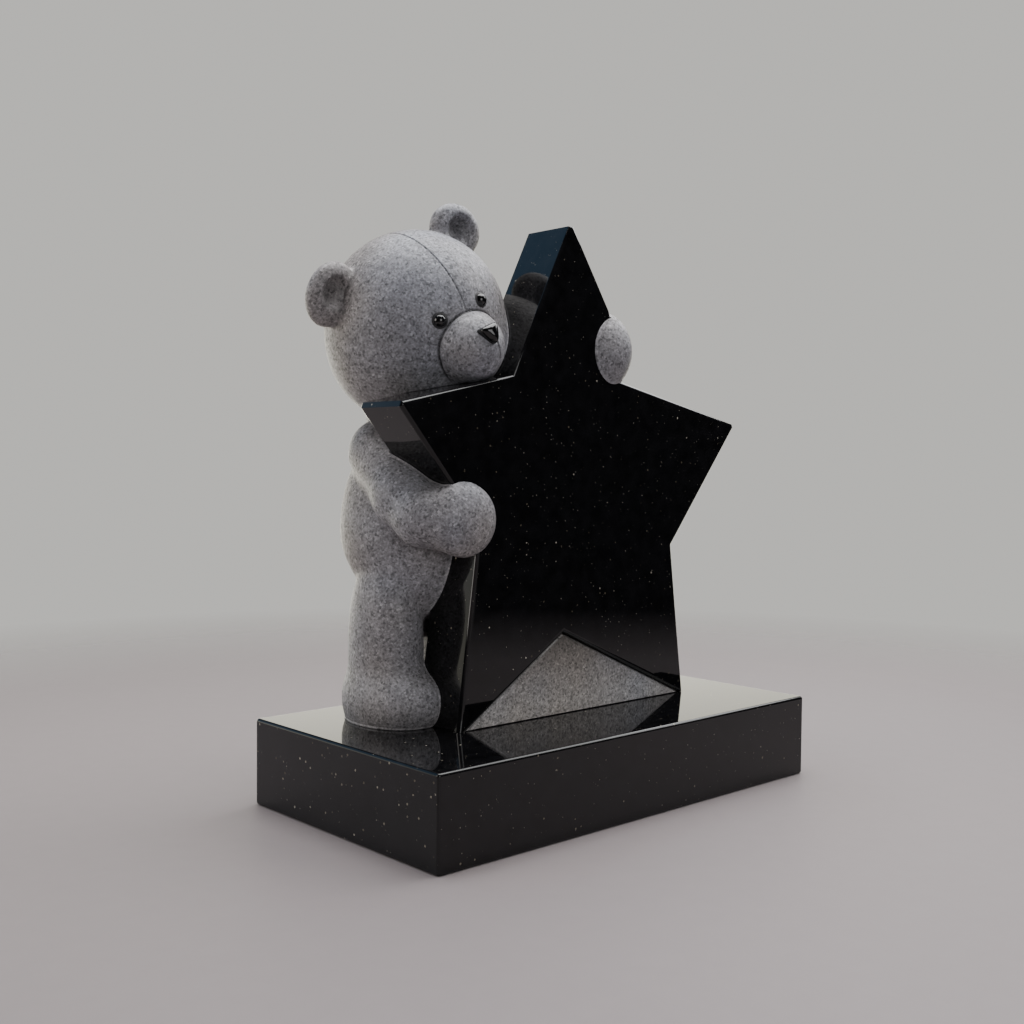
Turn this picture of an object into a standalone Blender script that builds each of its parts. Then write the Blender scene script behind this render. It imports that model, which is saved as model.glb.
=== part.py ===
"""Teddy bear headstone in granite, resting on its underside.

A polished black base carries a polished black five-pointed star whose feet stand either side of a
grey insert. A grey bear stands behind the star's left side, hugs it with both arms and lays its
tilted head against the star's upper point. Its eyes and nose are inset pieces of black granite.

Metres, +Z up, the star's face towards -Y. The origin lies under the middle of the base.
"""

import math

import bmesh
import bpy
import numpy as np
from mathutils import Matrix, Vector

# Base: a block with softened arrises.
BASE_WIDTH = 0.610
BASE_DEPTH = 0.337
BASE_HEIGHT = 0.101
BASE_ARRIS = 0.0035

# Clearance between pieces that touch.
JOINT = 0.0003

# Star: a slab standing on edge. Each corner is named with its place along X and its height above
# the base. The two feet come to narrow flats.
STAR_FRONT = -0.0474
STAR_THICKNESS = 0.076
STAR_BEVEL = 0.0050
BEVEL_STEPS = 3
STAR_CORNERS = {
    "upper point": (-0.0073, 0.5850),
    "paw shoulder": (0.0613, 0.4839),
    "paw notch": (0.0681, 0.4039),
    "right point": (0.3123, 0.3537),
    "right waist": (0.1815, 0.1945),
    "right foot outside": (0.2081, 0.0),
    "right foot inside": (0.2045, 0.0),
    "foot notch": (-0.0145, 0.0979),
    "left foot inside": (-0.1652, 0.0),
    "left foot outside": (-0.1775, 0.0),
    "left waist": (-0.1479, 0.2278),
    "left point": (-0.2631, 0.3630),
    "left notch": (-0.0985, 0.3994),
}
STAR_TIP_CUT = 0.0062
STAR_CUT_TIPS = ("upper point", "paw shoulder", "right point", "left point")

# Insert: the triangle that fills the notch between the star's feet, a little behind its face.
INSERT_RECESS = 0.0023
INSERT_BEVEL = 0.0050
INSERT_FOOT_BEVEL = 0.0013

# Bear: its middle, the way it faces, and its proportions. Sideways is towards the bear's left,
# forward is the way the chest faces and up is height above the base.
BEAR_X = -0.150
BEAR_Y = 0.0816
BEAR_TURN = math.radians(-8)
TORSO_HEIGHT = 0.219
TORSO_RADIUS = 0.080
TORSO_DROP = 0.080
TORSO_RISE = 0.130
BELLY_PLACE = (0.0, 0.015, 0.199)
BELLY_RADII = (0.068, 0.070, 0.088)
NECK_HEIGHT = 0.350
NECK_RADII = (0.050, 0.050, 0.034)
LEG_SIDES = (-0.0405, 0.056)
LEG_FORWARD = 0.020
LEG_HEIGHT = 0.097
LEG_RADII = (0.0405, 0.052, 0.105)
FOOT_SIDES = (-0.034, 0.058)
FOOT_FORWARD = 0.027
FOOT_HEIGHT = 0.025
FOOT_RADII = (0.050, 0.0735, 0.040)
FOOT_FULLNESS = 2.3

# Arms: each is a chain of rounded lengths from shoulder to paw, at (sideways, forward, up) with a
# radius at every joint.
RIGHT_ARM = (
    ((-0.038, 0.012, 0.309), 0.042),
    ((-0.045, 0.068, 0.262), 0.034),
    ((-0.036, 0.100, 0.241), 0.034),
    ((-0.016, 0.112, 0.238), 0.037),
)
LEFT_ARM = (
    ((0.038, 0.012, 0.309), 0.042),
    ((0.140, 0.000, 0.370), 0.035),
    ((0.210, 0.020, 0.420), 0.036),
    ((0.228, 0.073, 0.4385), 0.036),
)

# Paws: flattened balls at (sideways, forward, up), right and left, with their radii.
PAWS = (
    ((-0.0039, 0.1308, 0.2365), (0.040, 0.021, 0.0415)),
    ((0.2295, 0.0730, 0.4375), (0.0395, 0.041, 0.0495)),
)

# Head: a ball turned with the body, nodding forward and leaning against the star.
HEAD_SIDE = 0.0068
HEAD_FORWARD = 0.0043
HEAD_HEIGHT = 0.4655
HEAD_RADIUS = 0.1065
HEAD_NOD = math.radians(14.6)
HEAD_LEAN = math.radians(-26.8)

# On the head, sideways, forward and up are shares of the head's own radius.
# Right comes before left; a cheek is a ball with its place and radius.
CHEEKS = (
    ((-0.27, 0.05, -0.19), 0.81),
    ((0.25, 0.50, -0.35), 0.475),
)
EAR_PLACES = ((-0.863, -0.141, 0.651), (0.870, -0.172, 0.703))
EAR_RADII = (0.355, 0.165, 0.290)
EAR_HOLLOW_RADII = (0.180, 0.135, 0.165)
EAR_HOLLOW_RISE = 0.05
MUZZLE_PLACE = (0.0, 0.80, -0.045)
MUZZLE_RADII = (0.40, 0.56, 0.375)
MUZZLE_DROP = 0.45
EYE_SIDES = (-0.260, 0.300)
EYE_UP = 0.330
EYE_RADIUS = 0.0075
EYE_SET_IN = 0.0020
NOSE_PLACE = (0.05, 1.227, 0.129)
NOSE_WIDTH = 0.025
NOSE_HEIGHT = 0.023
NOSE_DEPTH = 0.018
NOSE_ROUND = 0.0034
NOSE_TILT = math.radians(25)

# How softly neighbouring forms of the bear run into each other.
BLEND_BODY = 0.016
BLEND_LIMB = 0.010
BLEND_CREASE = 0.005

# Fineness of the bear's surface.
REMESH_SIZE = 0.0055
BEAR_TRIANGLES = 7200

BLACK_GRANITE = (0.012, 0.012, 0.013)
GREY_GRANITE = (0.30, 0.30, 0.32)


def clear_scene():
    for thing in list(bpy.data.objects):
        bpy.data.objects.remove(thing, do_unlink=True)


def granite(name, colour, roughness):
    material = bpy.data.materials.new(name)
    material.use_nodes = True
    shader = material.node_tree.nodes["Principled BSDF"]
    shader.inputs["Base Color"].default_value = (*colour, 1.0)
    shader.inputs["Roughness"].default_value = roughness
    shader.inputs["Metallic"].default_value = 0.0
    return material


def object_of(bm, name, material=None):
    """A linked object from a bmesh, with its faces turned outward."""
    bm.normal_update()
    bmesh.ops.recalc_face_normals(bm, faces=bm.faces)
    if bm.calc_volume(signed=True) < 0:
        bmesh.ops.reverse_faces(bm, faces=bm.faces)
    mesh = bpy.data.meshes.new(name)
    bm.to_mesh(mesh)
    bm.free()
    thing = bpy.data.objects.new(name, mesh)
    bpy.context.scene.collection.objects.link(thing)
    if material is not None:
        mesh.materials.append(material)
    return thing


def shade(thing, sharp_degrees):
    thing.data.shade_smooth()
    thing.data.set_sharp_from_angle(angle=math.radians(sharp_degrees))


def cutter(thing):
    thing.hide_render = True
    thing.display_type = "WIRE"
    return thing


def subtract(thing, tool):
    cut = thing.modifiers.new("cut by " + tool.name, "BOOLEAN")
    cut.operation = "DIFFERENCE"
    cut.solver = "EXACT"
    cut.object = tool


def crossing(first, second):
    """Where two lines meet, each a point and a direction in the plane."""
    (p, d), (q, e) = first, second
    along = ((q[0] - p[0]) * e[1] - (q[1] - p[1]) * e[0]) / (d[0] * e[1] - d[1] * e[0])
    return Vector((p[0] + along * d[0], p[1] + along * d[1]))


def inset_outline(corners, widths):
    """The outline with each side moved inward by its own width. A short side between two that
    now cross closes to their crossing."""
    count = len(corners)
    clockwise = sum(
        a[0] * b[1] - a[1] * b[0] for a, b in zip(corners, corners[1:] + corners[:1])
    ) < 0
    sides = []
    for i in range(count):
        start = corners[i]
        along = (corners[(i + 1) % count] - start).normalized()
        inward = Vector((along[1], -along[0])) if clockwise else Vector((-along[1], along[0]))
        sides.append((start + inward * widths[i], along))
    points = [crossing(sides[i - 1], sides[i]) for i in range(count)]
    for i in range(count):
        after = (i + 1) % count
        if (points[after] - points[i]).dot(sides[i][1]) <= 0:
            meeting = crossing(sides[i - 1], sides[after])
            points[i] = meeting
            points[after] = meeting
    return points


def bevel_ring(corners, widths, cut_tips, share):
    """The outline inset by a share of its bevel, its tips cut back by the rest."""
    points = inset_outline(corners, [width * share for width in widths])
    ring = []
    for i, point in enumerate(points):
        if not cut_tips[i]:
            ring.append(point)
            continue
        reach = STAR_TIP_CUT * (1 - share)
        for other in (points[i - 1], points[(i + 1) % len(points)]):
            ring.append(point + (other - point).normalized() * reach)
    return ring


def bevelled_slab(corners, front, back, widths, cut_tips, depth):
    """A slab standing on edge, its outline in X and Z, with rounded bevels round both faces."""
    rings = []
    for step in range(BEVEL_STEPS + 1):
        turn = math.radians(90) * step / BEVEL_STEPS
        ring = bevel_ring(corners, widths, cut_tips, 1 - math.sin(turn))
        rings.append((ring, front + depth * (1 - math.cos(turn))))
    rings += [(ring, back + front - y) for ring, y in reversed(rings)]
    bm = bmesh.new()
    loops = [[bm.verts.new((p[0], y, p[1])) for p in ring] for ring, y in rings]
    for lower, upper in zip(loops, loops[1:]):
        for i in range(len(lower)):
            bm.faces.new((lower[i - 1], lower[i], upper[i], upper[i - 1]))
    bm.faces.new(loops[0])
    bm.faces.new(loops[-1])
    bmesh.ops.remove_doubles(bm, verts=bm.verts, dist=1e-6)
    bmesh.ops.dissolve_degenerate(bm, edges=bm.edges, dist=1e-6)
    return bm


def build_base(material):
    bm = bmesh.new()
    size = Matrix.Diagonal((BASE_WIDTH, BASE_DEPTH, BASE_HEIGHT, 1.0))
    lift = Matrix.Translation((0, 0, BASE_HEIGHT / 2))
    bmesh.ops.create_cube(bm, size=1.0, matrix=lift @ size)
    base = object_of(bm, "base", material)
    arris = base.modifiers.new("arris", "BEVEL")
    arris.width = BASE_ARRIS
    arris.segments = BEVEL_STEPS
    shade(base, 40)
    return base


def star_corners(foot):
    """The star's corners in X and Z, its feet at the given height."""
    placed = []
    for name, (x, height) in STAR_CORNERS.items():
        placed.append(Vector((x, BASE_HEIGHT + (foot if height == 0 else height))))
    return placed


def build_star(material):
    names = list(STAR_CORNERS)
    widths = [STAR_BEVEL] * len(names)
    for name in ("right foot outside", "left foot inside"):
        widths[names.index(name)] = 0.0
    cut_tips = [name in STAR_CUT_TIPS for name in names]
    back = STAR_FRONT + STAR_THICKNESS
    corners = star_corners(JOINT)
    bm = bevelled_slab(corners, STAR_FRONT, back, widths, cut_tips, STAR_BEVEL)
    star = object_of(bm, "star", material)
    shade(star, 25)
    return star


def star_clearance():
    """The slab of star and insert together, grown by the joint, to cut the bear."""
    whole = dict(zip(STAR_CORNERS, star_corners(0.0)))
    for name in ("right foot inside", "foot notch", "left foot inside"):
        del whole[name]
    corners = inset_outline(list(whole.values()), [-JOINT] * len(whole))
    bm = bmesh.new()
    near = STAR_FRONT - JOINT
    far = STAR_FRONT + STAR_THICKNESS + JOINT
    face = bm.faces.new([bm.verts.new((p[0], near, p[1])) for p in corners])
    grown = bmesh.ops.extrude_face_region(bm, geom=[face])
    moved = [v for v in grown["geom"] if isinstance(v, bmesh.types.BMVert)]
    bmesh.ops.translate(bm, verts=moved, vec=(0, far - near, 0))
    return cutter(object_of(bm, "star_clearance"))


def build_insert(material):
    apex = Vector(STAR_CORNERS["foot notch"])
    left = Vector(STAR_CORNERS["left foot inside"])
    right = Vector(STAR_CORNERS["right foot inside"])
    lift = Vector((0, BASE_HEIGHT))
    corners = inset_outline([apex + lift, right + lift, left + lift], [JOINT] * 3)
    widths = [INSERT_BEVEL, INSERT_FOOT_BEVEL, INSERT_BEVEL]
    front = STAR_FRONT + INSERT_RECESS
    back = STAR_FRONT + STAR_THICKNESS - INSERT_RECESS
    bm = bevelled_slab(corners, front, back, widths, [False] * 3, INSERT_BEVEL)
    insert = object_of(bm, "insert", material)
    shade(insert, 25)
    return insert


def body_axes():
    """Columns: sideways, forward and up of the bear's body."""
    turn = Matrix.Rotation(BEAR_TURN, 3, "Z")
    return np.array(turn @ Matrix(((1, 0, 0), (0, -1, 0), (0, 0, 1))))


def head_axes():
    """Columns: sideways, forward and up of the bear's head."""
    lean = Matrix.Rotation(HEAD_LEAN, 3, "Y")
    turn = Matrix.Rotation(BEAR_TURN, 3, "Z")
    nod = Matrix.Rotation(HEAD_NOD, 3, "X")
    return np.array(lean @ turn @ nod @ Matrix(((1, 0, 0), (0, -1, 0), (0, 0, 1))))


def on_body(place):
    return np.array((BEAR_X, BEAR_Y, BASE_HEIGHT)) + body_axes() @ np.array(place)


def head_middle():
    return on_body((HEAD_SIDE, HEAD_FORWARD, HEAD_HEIGHT))


def on_head(place):
    return head_middle() + head_axes() @ (np.array(place) * HEAD_RADIUS)


def ear_axes(place):
    """Columns: across the ear, out from the head's face, and away from the head's middle."""
    out = np.array((place[0], 0.0, place[2]))
    out /= np.linalg.norm(out)
    forward = np.array((0.0, 1.0, 0.0))
    return head_axes() @ np.stack((np.cross(forward, out), forward, out), axis=1)


def ellipsoid(points, middle, axes, radii, fullness=2.0, drop=None):
    """Distance from an ellipsoid, close to true near its surface and negative inside. Its lower
    half may have its own drop, and a fullness over 2 squares its sections."""
    local = (points - middle) @ axes
    radii = np.broadcast_to(radii, local.shape).copy()
    if drop is not None:
        radii[local[:, 2] < 0, 2] = drop
    share = np.abs(local / radii)
    reach = np.maximum((share**fullness).sum(axis=1), 1e-12) ** (1 / fullness)
    slope = np.linalg.norm(share ** (fullness - 1) / radii, axis=1)
    return (reach - 1) * reach ** (fullness - 1) / np.maximum(slope, 1e-9)


def rounded_length(points, start, end, start_radius, end_radius):
    """Distance from a tapering length with round ends."""
    along = end - start
    share = np.clip((points - start) @ along / (along @ along), 0, 1)
    nearest = start + share[:, None] * along
    return np.linalg.norm(points - nearest, axis=1) - start_radius - share * (
        end_radius - start_radius
    )


def limb(points, joints):
    """Distance from a chain of rounded lengths, blended where they bend."""
    placed = [(on_body(place), radius) for place, radius in joints]
    distance = None
    for (a, ra), (b, rb) in zip(placed, placed[1:]):
        length = rounded_length(points, a, b, ra, rb)
        distance = length if distance is None else blend(distance, length, BLEND_LIMB)
    return distance


def blend(first, second, reach):
    """The union of two forms with a soft fillet of the given reach."""
    share = np.clip(0.5 + 0.5 * (second - first) / reach, 0, 1)
    return second + share * (first - second) - reach * share * (1 - share)


def carve(form, hollow, reach):
    return -blend(-form, hollow, reach)


def bear_distance(points):
    """Distance from the whole uncut bear at each point, negative inside."""
    axes = body_axes()
    head = head_axes()
    torso_radii = (TORSO_RADIUS, TORSO_RADIUS, TORSO_RISE)
    torso = on_body((0, 0, TORSO_HEIGHT))
    body = ellipsoid(points, torso, axes, torso_radii, drop=TORSO_DROP)
    belly = ellipsoid(points, on_body(BELLY_PLACE), axes, BELLY_RADII)
    body = blend(body, belly, BLEND_BODY)
    neck = ellipsoid(points, on_body((0, 0, NECK_HEIGHT)), axes, NECK_RADII)
    body = blend(body, neck, BLEND_BODY)
    for leg_side, foot_side in zip(LEG_SIDES, FOOT_SIDES):
        place = (leg_side, LEG_FORWARD, LEG_HEIGHT)
        leg = ellipsoid(points, on_body(place), axes, LEG_RADII, drop=10 * LEG_HEIGHT)
        place = (foot_side, FOOT_FORWARD, FOOT_HEIGHT)
        foot = ellipsoid(points, on_body(place), axes, FOOT_RADII, FOOT_FULLNESS)
        body = blend(body, blend(leg, foot, BLEND_BODY), BLEND_CREASE)
    for arm, (place, radii) in zip((RIGHT_ARM, LEFT_ARM), PAWS):
        paw = ellipsoid(points, on_body(place), axes, radii)
        body = blend(body, blend(limb(points, arm), paw, BLEND_LIMB), BLEND_CREASE)
    skull = np.linalg.norm(points - head_middle(), axis=1) - HEAD_RADIUS
    for place, radius in CHEEKS:
        cheek = np.linalg.norm(points - on_head(place), axis=1) - radius * HEAD_RADIUS
        skull = blend(skull, cheek, BLEND_BODY)
    for place in EAR_PLACES:
        ear_radii = np.array(EAR_RADII) * HEAD_RADIUS
        ear = ellipsoid(points, on_head(place), ear_axes(place), ear_radii)
        dish = (place[0], place[1] + EAR_RADII[1], place[2] + EAR_HOLLOW_RISE)
        dish_radii = np.array(EAR_HOLLOW_RADII) * HEAD_RADIUS
        hollow = ellipsoid(points, on_head(dish), ear_axes(place), dish_radii)
        skull = blend(skull, carve(ear, hollow, BLEND_CREASE), BLEND_CREASE)
    muzzle_radii = np.array(MUZZLE_RADII) * HEAD_RADIUS
    drop = MUZZLE_DROP * HEAD_RADIUS
    muzzle = ellipsoid(points, on_head(MUZZLE_PLACE), head, muzzle_radii, drop=drop)
    skull = blend(skull, muzzle, BLEND_CREASE)
    return blend(body, skull, BLEND_CREASE)


def settle(mesh, distance, rounds=6):
    """Moves a mesh's points onto the surface where the distance is zero."""
    points = np.empty(len(mesh.vertices) * 3, np.float32)
    mesh.vertices.foreach_get("co", points)
    points = points.reshape(-1, 3).astype(np.float64)
    step = 1e-5
    for _ in range(rounds):
        here = distance(points)
        slope = np.stack(
            [(distance(points + offset) - here) / step for offset in np.eye(3) * step], axis=1
        )
        steep = np.maximum((slope**2).sum(axis=1), 0.25)
        points -= (here / steep)[:, None] * slope
    mesh.vertices.foreach_set("co", points.astype(np.float32).ravel())
    mesh.update()


def add_ball(bm, middle, axes, radii):
    place = Matrix(axes.tolist()).to_4x4() @ Matrix.Diagonal((*radii, 1.0))
    place.translation = middle
    bmesh.ops.create_uvsphere(bm, u_segments=40, v_segments=20, radius=1.0, matrix=place)


def add_limb(bm, joints, filling=6):
    """Balls along a chain of joints, close enough together to close into one form."""
    for (a, ra), (b, rb) in zip(joints, joints[1:]):
        for step in range(filling + 1):
            share = step / filling
            middle = a + (b - a) * share
            radius = ra + (rb - ra) * share
            add_ball(bm, middle, np.eye(3), (radius,) * 3)


def rough_bear():
    """Overlapping balls in the places of the bear's forms."""
    bm = bmesh.new()
    axes = body_axes()
    add_ball(bm, on_body((0, 0, TORSO_HEIGHT)), axes, (TORSO_RADIUS, TORSO_RADIUS, TORSO_RISE))
    add_ball(bm, on_body(BELLY_PLACE), axes, BELLY_RADII)
    add_ball(bm, on_body((0, 0, NECK_HEIGHT)), axes, NECK_RADII)
    for leg_side, foot_side in zip(LEG_SIDES, FOOT_SIDES):
        add_ball(bm, on_body((leg_side, LEG_FORWARD, LEG_HEIGHT)), axes, LEG_RADII)
        place = (foot_side, FOOT_FORWARD, FOOT_HEIGHT)
        add_ball(bm, on_body(place), axes, FOOT_RADII)
    for place in EAR_PLACES:
        add_ball(bm, on_head(place), ear_axes(place), np.array(EAR_RADII) * HEAD_RADIUS)
    for place, radius in CHEEKS:
        add_ball(bm, on_head(place), np.eye(3), (radius * HEAD_RADIUS,) * 3)
    for arm in (RIGHT_ARM, LEFT_ARM):
        add_limb(bm, [(on_body(place), radius) for place, radius in arm])
    for place, radii in PAWS:
        add_ball(bm, on_body(place), axes, radii)
    add_ball(bm, head_middle(), np.eye(3), (HEAD_RADIUS,) * 3)
    add_ball(bm, on_head(MUZZLE_PLACE), head_axes(), np.array(MUZZLE_RADII) * HEAD_RADIUS)
    return object_of(bm, "rough_bear")


def evaluated_copy(thing, name):
    """A mesh with the object's modifiers taken in, and the object removed."""
    graph = bpy.context.evaluated_depsgraph_get()
    mesh = bpy.data.meshes.new_from_object(thing.evaluated_get(graph))
    mesh.name = name
    bpy.data.objects.remove(thing, do_unlink=True)
    return mesh


def eye_ball(side, grow):
    """An eye's ball, set a little into the head's surface and grown by a clearance."""
    forward = math.sqrt(1 - side**2 - EYE_UP**2) - EYE_SET_IN / HEAD_RADIUS
    bm = bmesh.new()
    radii = (EYE_RADIUS + grow,) * 3
    place = Matrix(head_axes().tolist()).to_4x4() @ Matrix.Diagonal((*radii, 1.0))
    place.translation = on_head((side, forward, EYE_UP))
    bmesh.ops.create_icosphere(bm, subdivisions=3, radius=1.0, matrix=place)
    return bm


def nose_block(grow):
    """A rounded triangle, wide at the top, with softened edges, facing out from the muzzle."""
    bm = bmesh.new()
    wide = NOSE_WIDTH / 2
    outline = ((-wide, 0.35), (wide, 0.35), (0.30 * wide, -0.65), (-0.30 * wide, -0.65))
    face = bm.faces.new([bm.verts.new((x, 0, z * NOSE_HEIGHT)) for x, z in outline])
    grown = bmesh.ops.extrude_face_region(bm, geom=[face])
    moved = [v for v in grown["geom"] if isinstance(v, bmesh.types.BMVert)]
    bmesh.ops.translate(bm, verts=moved, vec=(0, NOSE_DEPTH, 0))
    bmesh.ops.bevel(
        bm, geom=list(bm.edges), offset=NOSE_ROUND, segments=4, profile=0.5, affect="EDGES"
    )
    bmesh.ops.recalc_face_normals(bm, faces=bm.faces)
    bm.normal_update()
    for vert in bm.verts:
        vert.co += vert.normal * grow
    tilt = Matrix.Rotation(NOSE_TILT, 4, "X")
    place = Matrix(head_axes().tolist()).to_4x4() @ tilt
    place.translation = on_head(NOSE_PLACE)
    bm.transform(place)
    return bm


def build_bear(material):
    rough = rough_bear()
    remesh = rough.modifiers.new("close", "REMESH")
    remesh.mode = "VOXEL"
    remesh.voxel_size = REMESH_SIZE
    mesh = evaluated_copy(rough, "bear")
    settle(mesh, bear_distance)
    bear = bpy.data.objects.new("bear", mesh)
    bpy.context.scene.collection.objects.link(bear)
    mesh.materials.append(material)
    thin = bear.modifiers.new("fewer faces", "DECIMATE")
    thin.ratio = BEAR_TRIANGLES / (2 * len(mesh.polygons))
    bm = bmesh.new()
    floor = Matrix.Diagonal((BASE_WIDTH, BASE_DEPTH, BASE_HEIGHT, 1.0))
    lift = Matrix.Translation((0, 0, BASE_HEIGHT / 2 + JOINT))
    bmesh.ops.create_cube(bm, size=1.0, matrix=lift @ floor)
    subtract(bear, cutter(object_of(bm, "base_clearance")))
    subtract(bear, star_clearance())
    for side, name in zip(EYE_SIDES, ("right_eye_seat", "left_eye_seat")):
        subtract(bear, cutter(object_of(eye_ball(side, JOINT), name)))
    subtract(bear, cutter(object_of(nose_block(JOINT), "nose_seat")))
    return bear


def main():
    clear_scene()
    black = granite("polished_black_granite", BLACK_GRANITE, 0.08)
    grey = granite("honed_grey_granite", GREY_GRANITE, 0.55)
    build_base(black)
    build_star(black)
    build_insert(grey)
    build_bear(grey)
    for side, name in zip(EYE_SIDES, ("right_eye", "left_eye")):
        shade(object_of(eye_ball(side, 0.0), name, black), 60)
    shade(object_of(nose_block(0.0), "nose", black), 30)


main()
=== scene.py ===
"""Finish of a teddy bear headstone in granite, laid out as a Blender add-on and run as a script.

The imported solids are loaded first. Finer surfaces of the same forms then take their places: the
polished black base and star with rounded edges, the grey insert, the carved bear with its seams,
sockets and rolled lips, and its glossy eyes and nose. A stage gives floor, light and camera.
"""

import math

import bmesh
import bpy
import numpy as np
from bpy.props import FloatProperty, FloatVectorProperty, PointerProperty
from mathutils import Matrix, Vector


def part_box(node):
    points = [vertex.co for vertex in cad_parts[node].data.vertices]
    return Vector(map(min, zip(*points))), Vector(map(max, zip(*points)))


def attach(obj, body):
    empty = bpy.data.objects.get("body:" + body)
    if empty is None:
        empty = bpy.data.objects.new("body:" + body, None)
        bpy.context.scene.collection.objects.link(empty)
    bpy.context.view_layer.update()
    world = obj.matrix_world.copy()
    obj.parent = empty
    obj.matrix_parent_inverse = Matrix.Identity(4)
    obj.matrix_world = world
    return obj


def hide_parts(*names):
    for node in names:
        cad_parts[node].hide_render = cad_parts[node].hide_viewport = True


bl_info = {
    "name": "Teddy bear headstone",
    "version": (1, 0, 0),
    "blender": (4, 5, 0),
    "location": "3D View > Sidebar > Headstone",
    "description": "Dresses the solids of a granite bear and star memorial",
    "category": "Object",
}

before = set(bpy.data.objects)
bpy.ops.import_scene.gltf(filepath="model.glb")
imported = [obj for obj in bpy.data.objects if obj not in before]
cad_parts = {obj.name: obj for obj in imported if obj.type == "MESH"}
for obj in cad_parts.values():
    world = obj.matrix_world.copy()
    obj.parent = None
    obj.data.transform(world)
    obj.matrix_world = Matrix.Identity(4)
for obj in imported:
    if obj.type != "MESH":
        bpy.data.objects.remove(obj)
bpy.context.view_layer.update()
BASE_LOW, BASE_HIGH = (np.array(corner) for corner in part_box("base"))
STAR_LOW, STAR_HIGH = (np.array(corner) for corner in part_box("star"))
BASE_TOP = BASE_HIGH[2]
STAR_FRONT = STAR_LOW[1]
STAR_BACK = STAR_HIGH[1]

# Clearance between pieces that touch, in metres as every size here.
JOINT = 0.0003

# Star: each corner's place along X and its height above the base.
STAR_CORNERS = {
    "upper point": (-0.0073, 0.5850),
    "paw shoulder": (0.0613, 0.4839),
    "paw notch": (0.0681, 0.4039),
    "right point": (0.3123, 0.3537),
    "right waist": (0.1815, 0.1945),
    "right foot outside": (0.2081, 0.0),
    "right foot inside": (0.2045, 0.0),
    "foot notch": (-0.0145, 0.0979),
    "left foot inside": (-0.1652, 0.0),
    "left foot outside": (-0.1775, 0.0),
    "left waist": (-0.1479, 0.2278),
    "left point": (-0.2631, 0.3630),
    "left notch": (-0.0985, 0.3994),
}
STAR_TIP_CUT = 0.0062
STAR_CUT_TIPS = ("upper point", "paw shoulder", "right point", "left point")
INSERT_RECESS = 0.0023
INSERT_BEVEL = 0.0050
INSERT_FOOT_BEVEL = 0.0013

# Bear: its middle, the way it faces, and its proportions. Sideways is towards the bear's left,
# forward is the way the chest faces and up is height above the base.
BEAR_X = -0.150
BEAR_Y = 0.0816
BEAR_TURN = math.radians(-8)
TORSO_HEIGHT = 0.219
TORSO_RADII = (0.080, 0.080, 0.130)
TORSO_DROP = 0.080
BELLY_PLACE = (0.0, 0.015, 0.199)
BELLY_RADII = (0.068, 0.070, 0.088)
NECK_HEIGHT = 0.350
NECK_RADII = (0.050, 0.050, 0.034)
LEG_SIDES = (-0.0405, 0.056)
LEG_FORWARD = 0.020
LEG_HEIGHT = 0.097
LEG_RADII = (0.0405, 0.052, 0.105)
FOOT_SIDES = (-0.034, 0.058)
FOOT_FORWARD = 0.027
FOOT_HEIGHT = 0.025
FOOT_RADII = (0.050, 0.0735, 0.040)
FOOT_FULLNESS = 2.3

# Arms: each is a chain of rounded lengths from shoulder to paw, at (sideways, forward, up) with a
# radius at every joint.
RIGHT_ARM = (
    ((-0.038, 0.012, 0.309), 0.042),
    ((-0.045, 0.068, 0.262), 0.034),
    ((-0.036, 0.100, 0.241), 0.034),
    ((-0.016, 0.112, 0.238), 0.037),
)
LEFT_ARM = (
    ((0.038, 0.012, 0.309), 0.042),
    ((0.140, 0.000, 0.370), 0.035),
    ((0.210, 0.020, 0.420), 0.036),
    ((0.228, 0.073, 0.4385), 0.036),
)

# Paws: flattened balls at (sideways, forward, up), right and left, with their radii.
PAWS = (
    ((-0.0039, 0.1308, 0.2365), (0.040, 0.021, 0.0415)),
    ((0.2295, 0.0730, 0.4375), (0.0395, 0.041, 0.0495)),
)

# Head: a ball turned with the body, nodding forward and leaning against the star.
HEAD_PLACE = (0.0068, 0.0043, 0.4655)
HEAD_RADIUS = 0.1065
HEAD_NOD = math.radians(14.6)
HEAD_LEAN = math.radians(-26.8)

# On the head, sideways, forward and up are shares of the head's own radius, and right comes before
# left. A cheek is a ball with its place and radius.
CHEEKS = (
    ((-0.27, 0.05, -0.19), 0.81),
    ((0.25, 0.50, -0.35), 0.475),
)
EAR_PLACES = ((-0.863, -0.141, 0.651), (0.870, -0.172, 0.703))
EAR_RADII = (0.355, 0.165, 0.290)
EAR_HOLLOW_RADII = (0.180, 0.135, 0.165)
EAR_HOLLOW_RISE = 0.05
MUZZLE_PLACE = (0.0, 0.80, -0.045)
MUZZLE_RADII = (0.40, 0.56, 0.375)
MUZZLE_DROP = 0.45
EYE_SIDES = (-0.260, 0.300)
EYE_UP = 0.330
EYE_RADIUS = 0.0075
EYE_SET_IN = 0.0020
NOSE_PLACE = (0.05, 1.227, 0.129)
NOSE_WIDTH = 0.025
NOSE_HEIGHT = 0.023
NOSE_DEPTH = 0.018
NOSE_TILT = math.radians(25)

# Cuts on the head. The one over its middle bows towards the bear's left, most at SEAM_HIGH, and
# ends low at the back. The one under the nose lies to the same side and ends above the chin. The
# one round the muzzle fades out under it.
SEAM_BOW = 0.078
SEAM_HIGH = 0.78
SEAM_END = -0.35
LIP_LINE_SIDE = 0.10
LIP_LINE_END = -0.24
MUZZLE_CUT_END = -0.42

# Lips: how far they reach and how high they rise, as shares of their radius.
LIP_REACH = 1.2
LIP_RISE = 0.4

# How softly neighbouring forms of the bear run into each other.
BLEND_BODY = 0.016
BLEND_LIMB = 0.010
BLEND_CREASE = 0.005
BLEND_MUZZLE = 0.0020
BLEND_CHIN = 0.016
BLEND_SOCKET = 0.0008

# Height on the head at which the muzzle's crease starts to soften, and the height it takes.
CHIN_HIGH = -0.12
CHIN_DEPTH = 0.30

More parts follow.
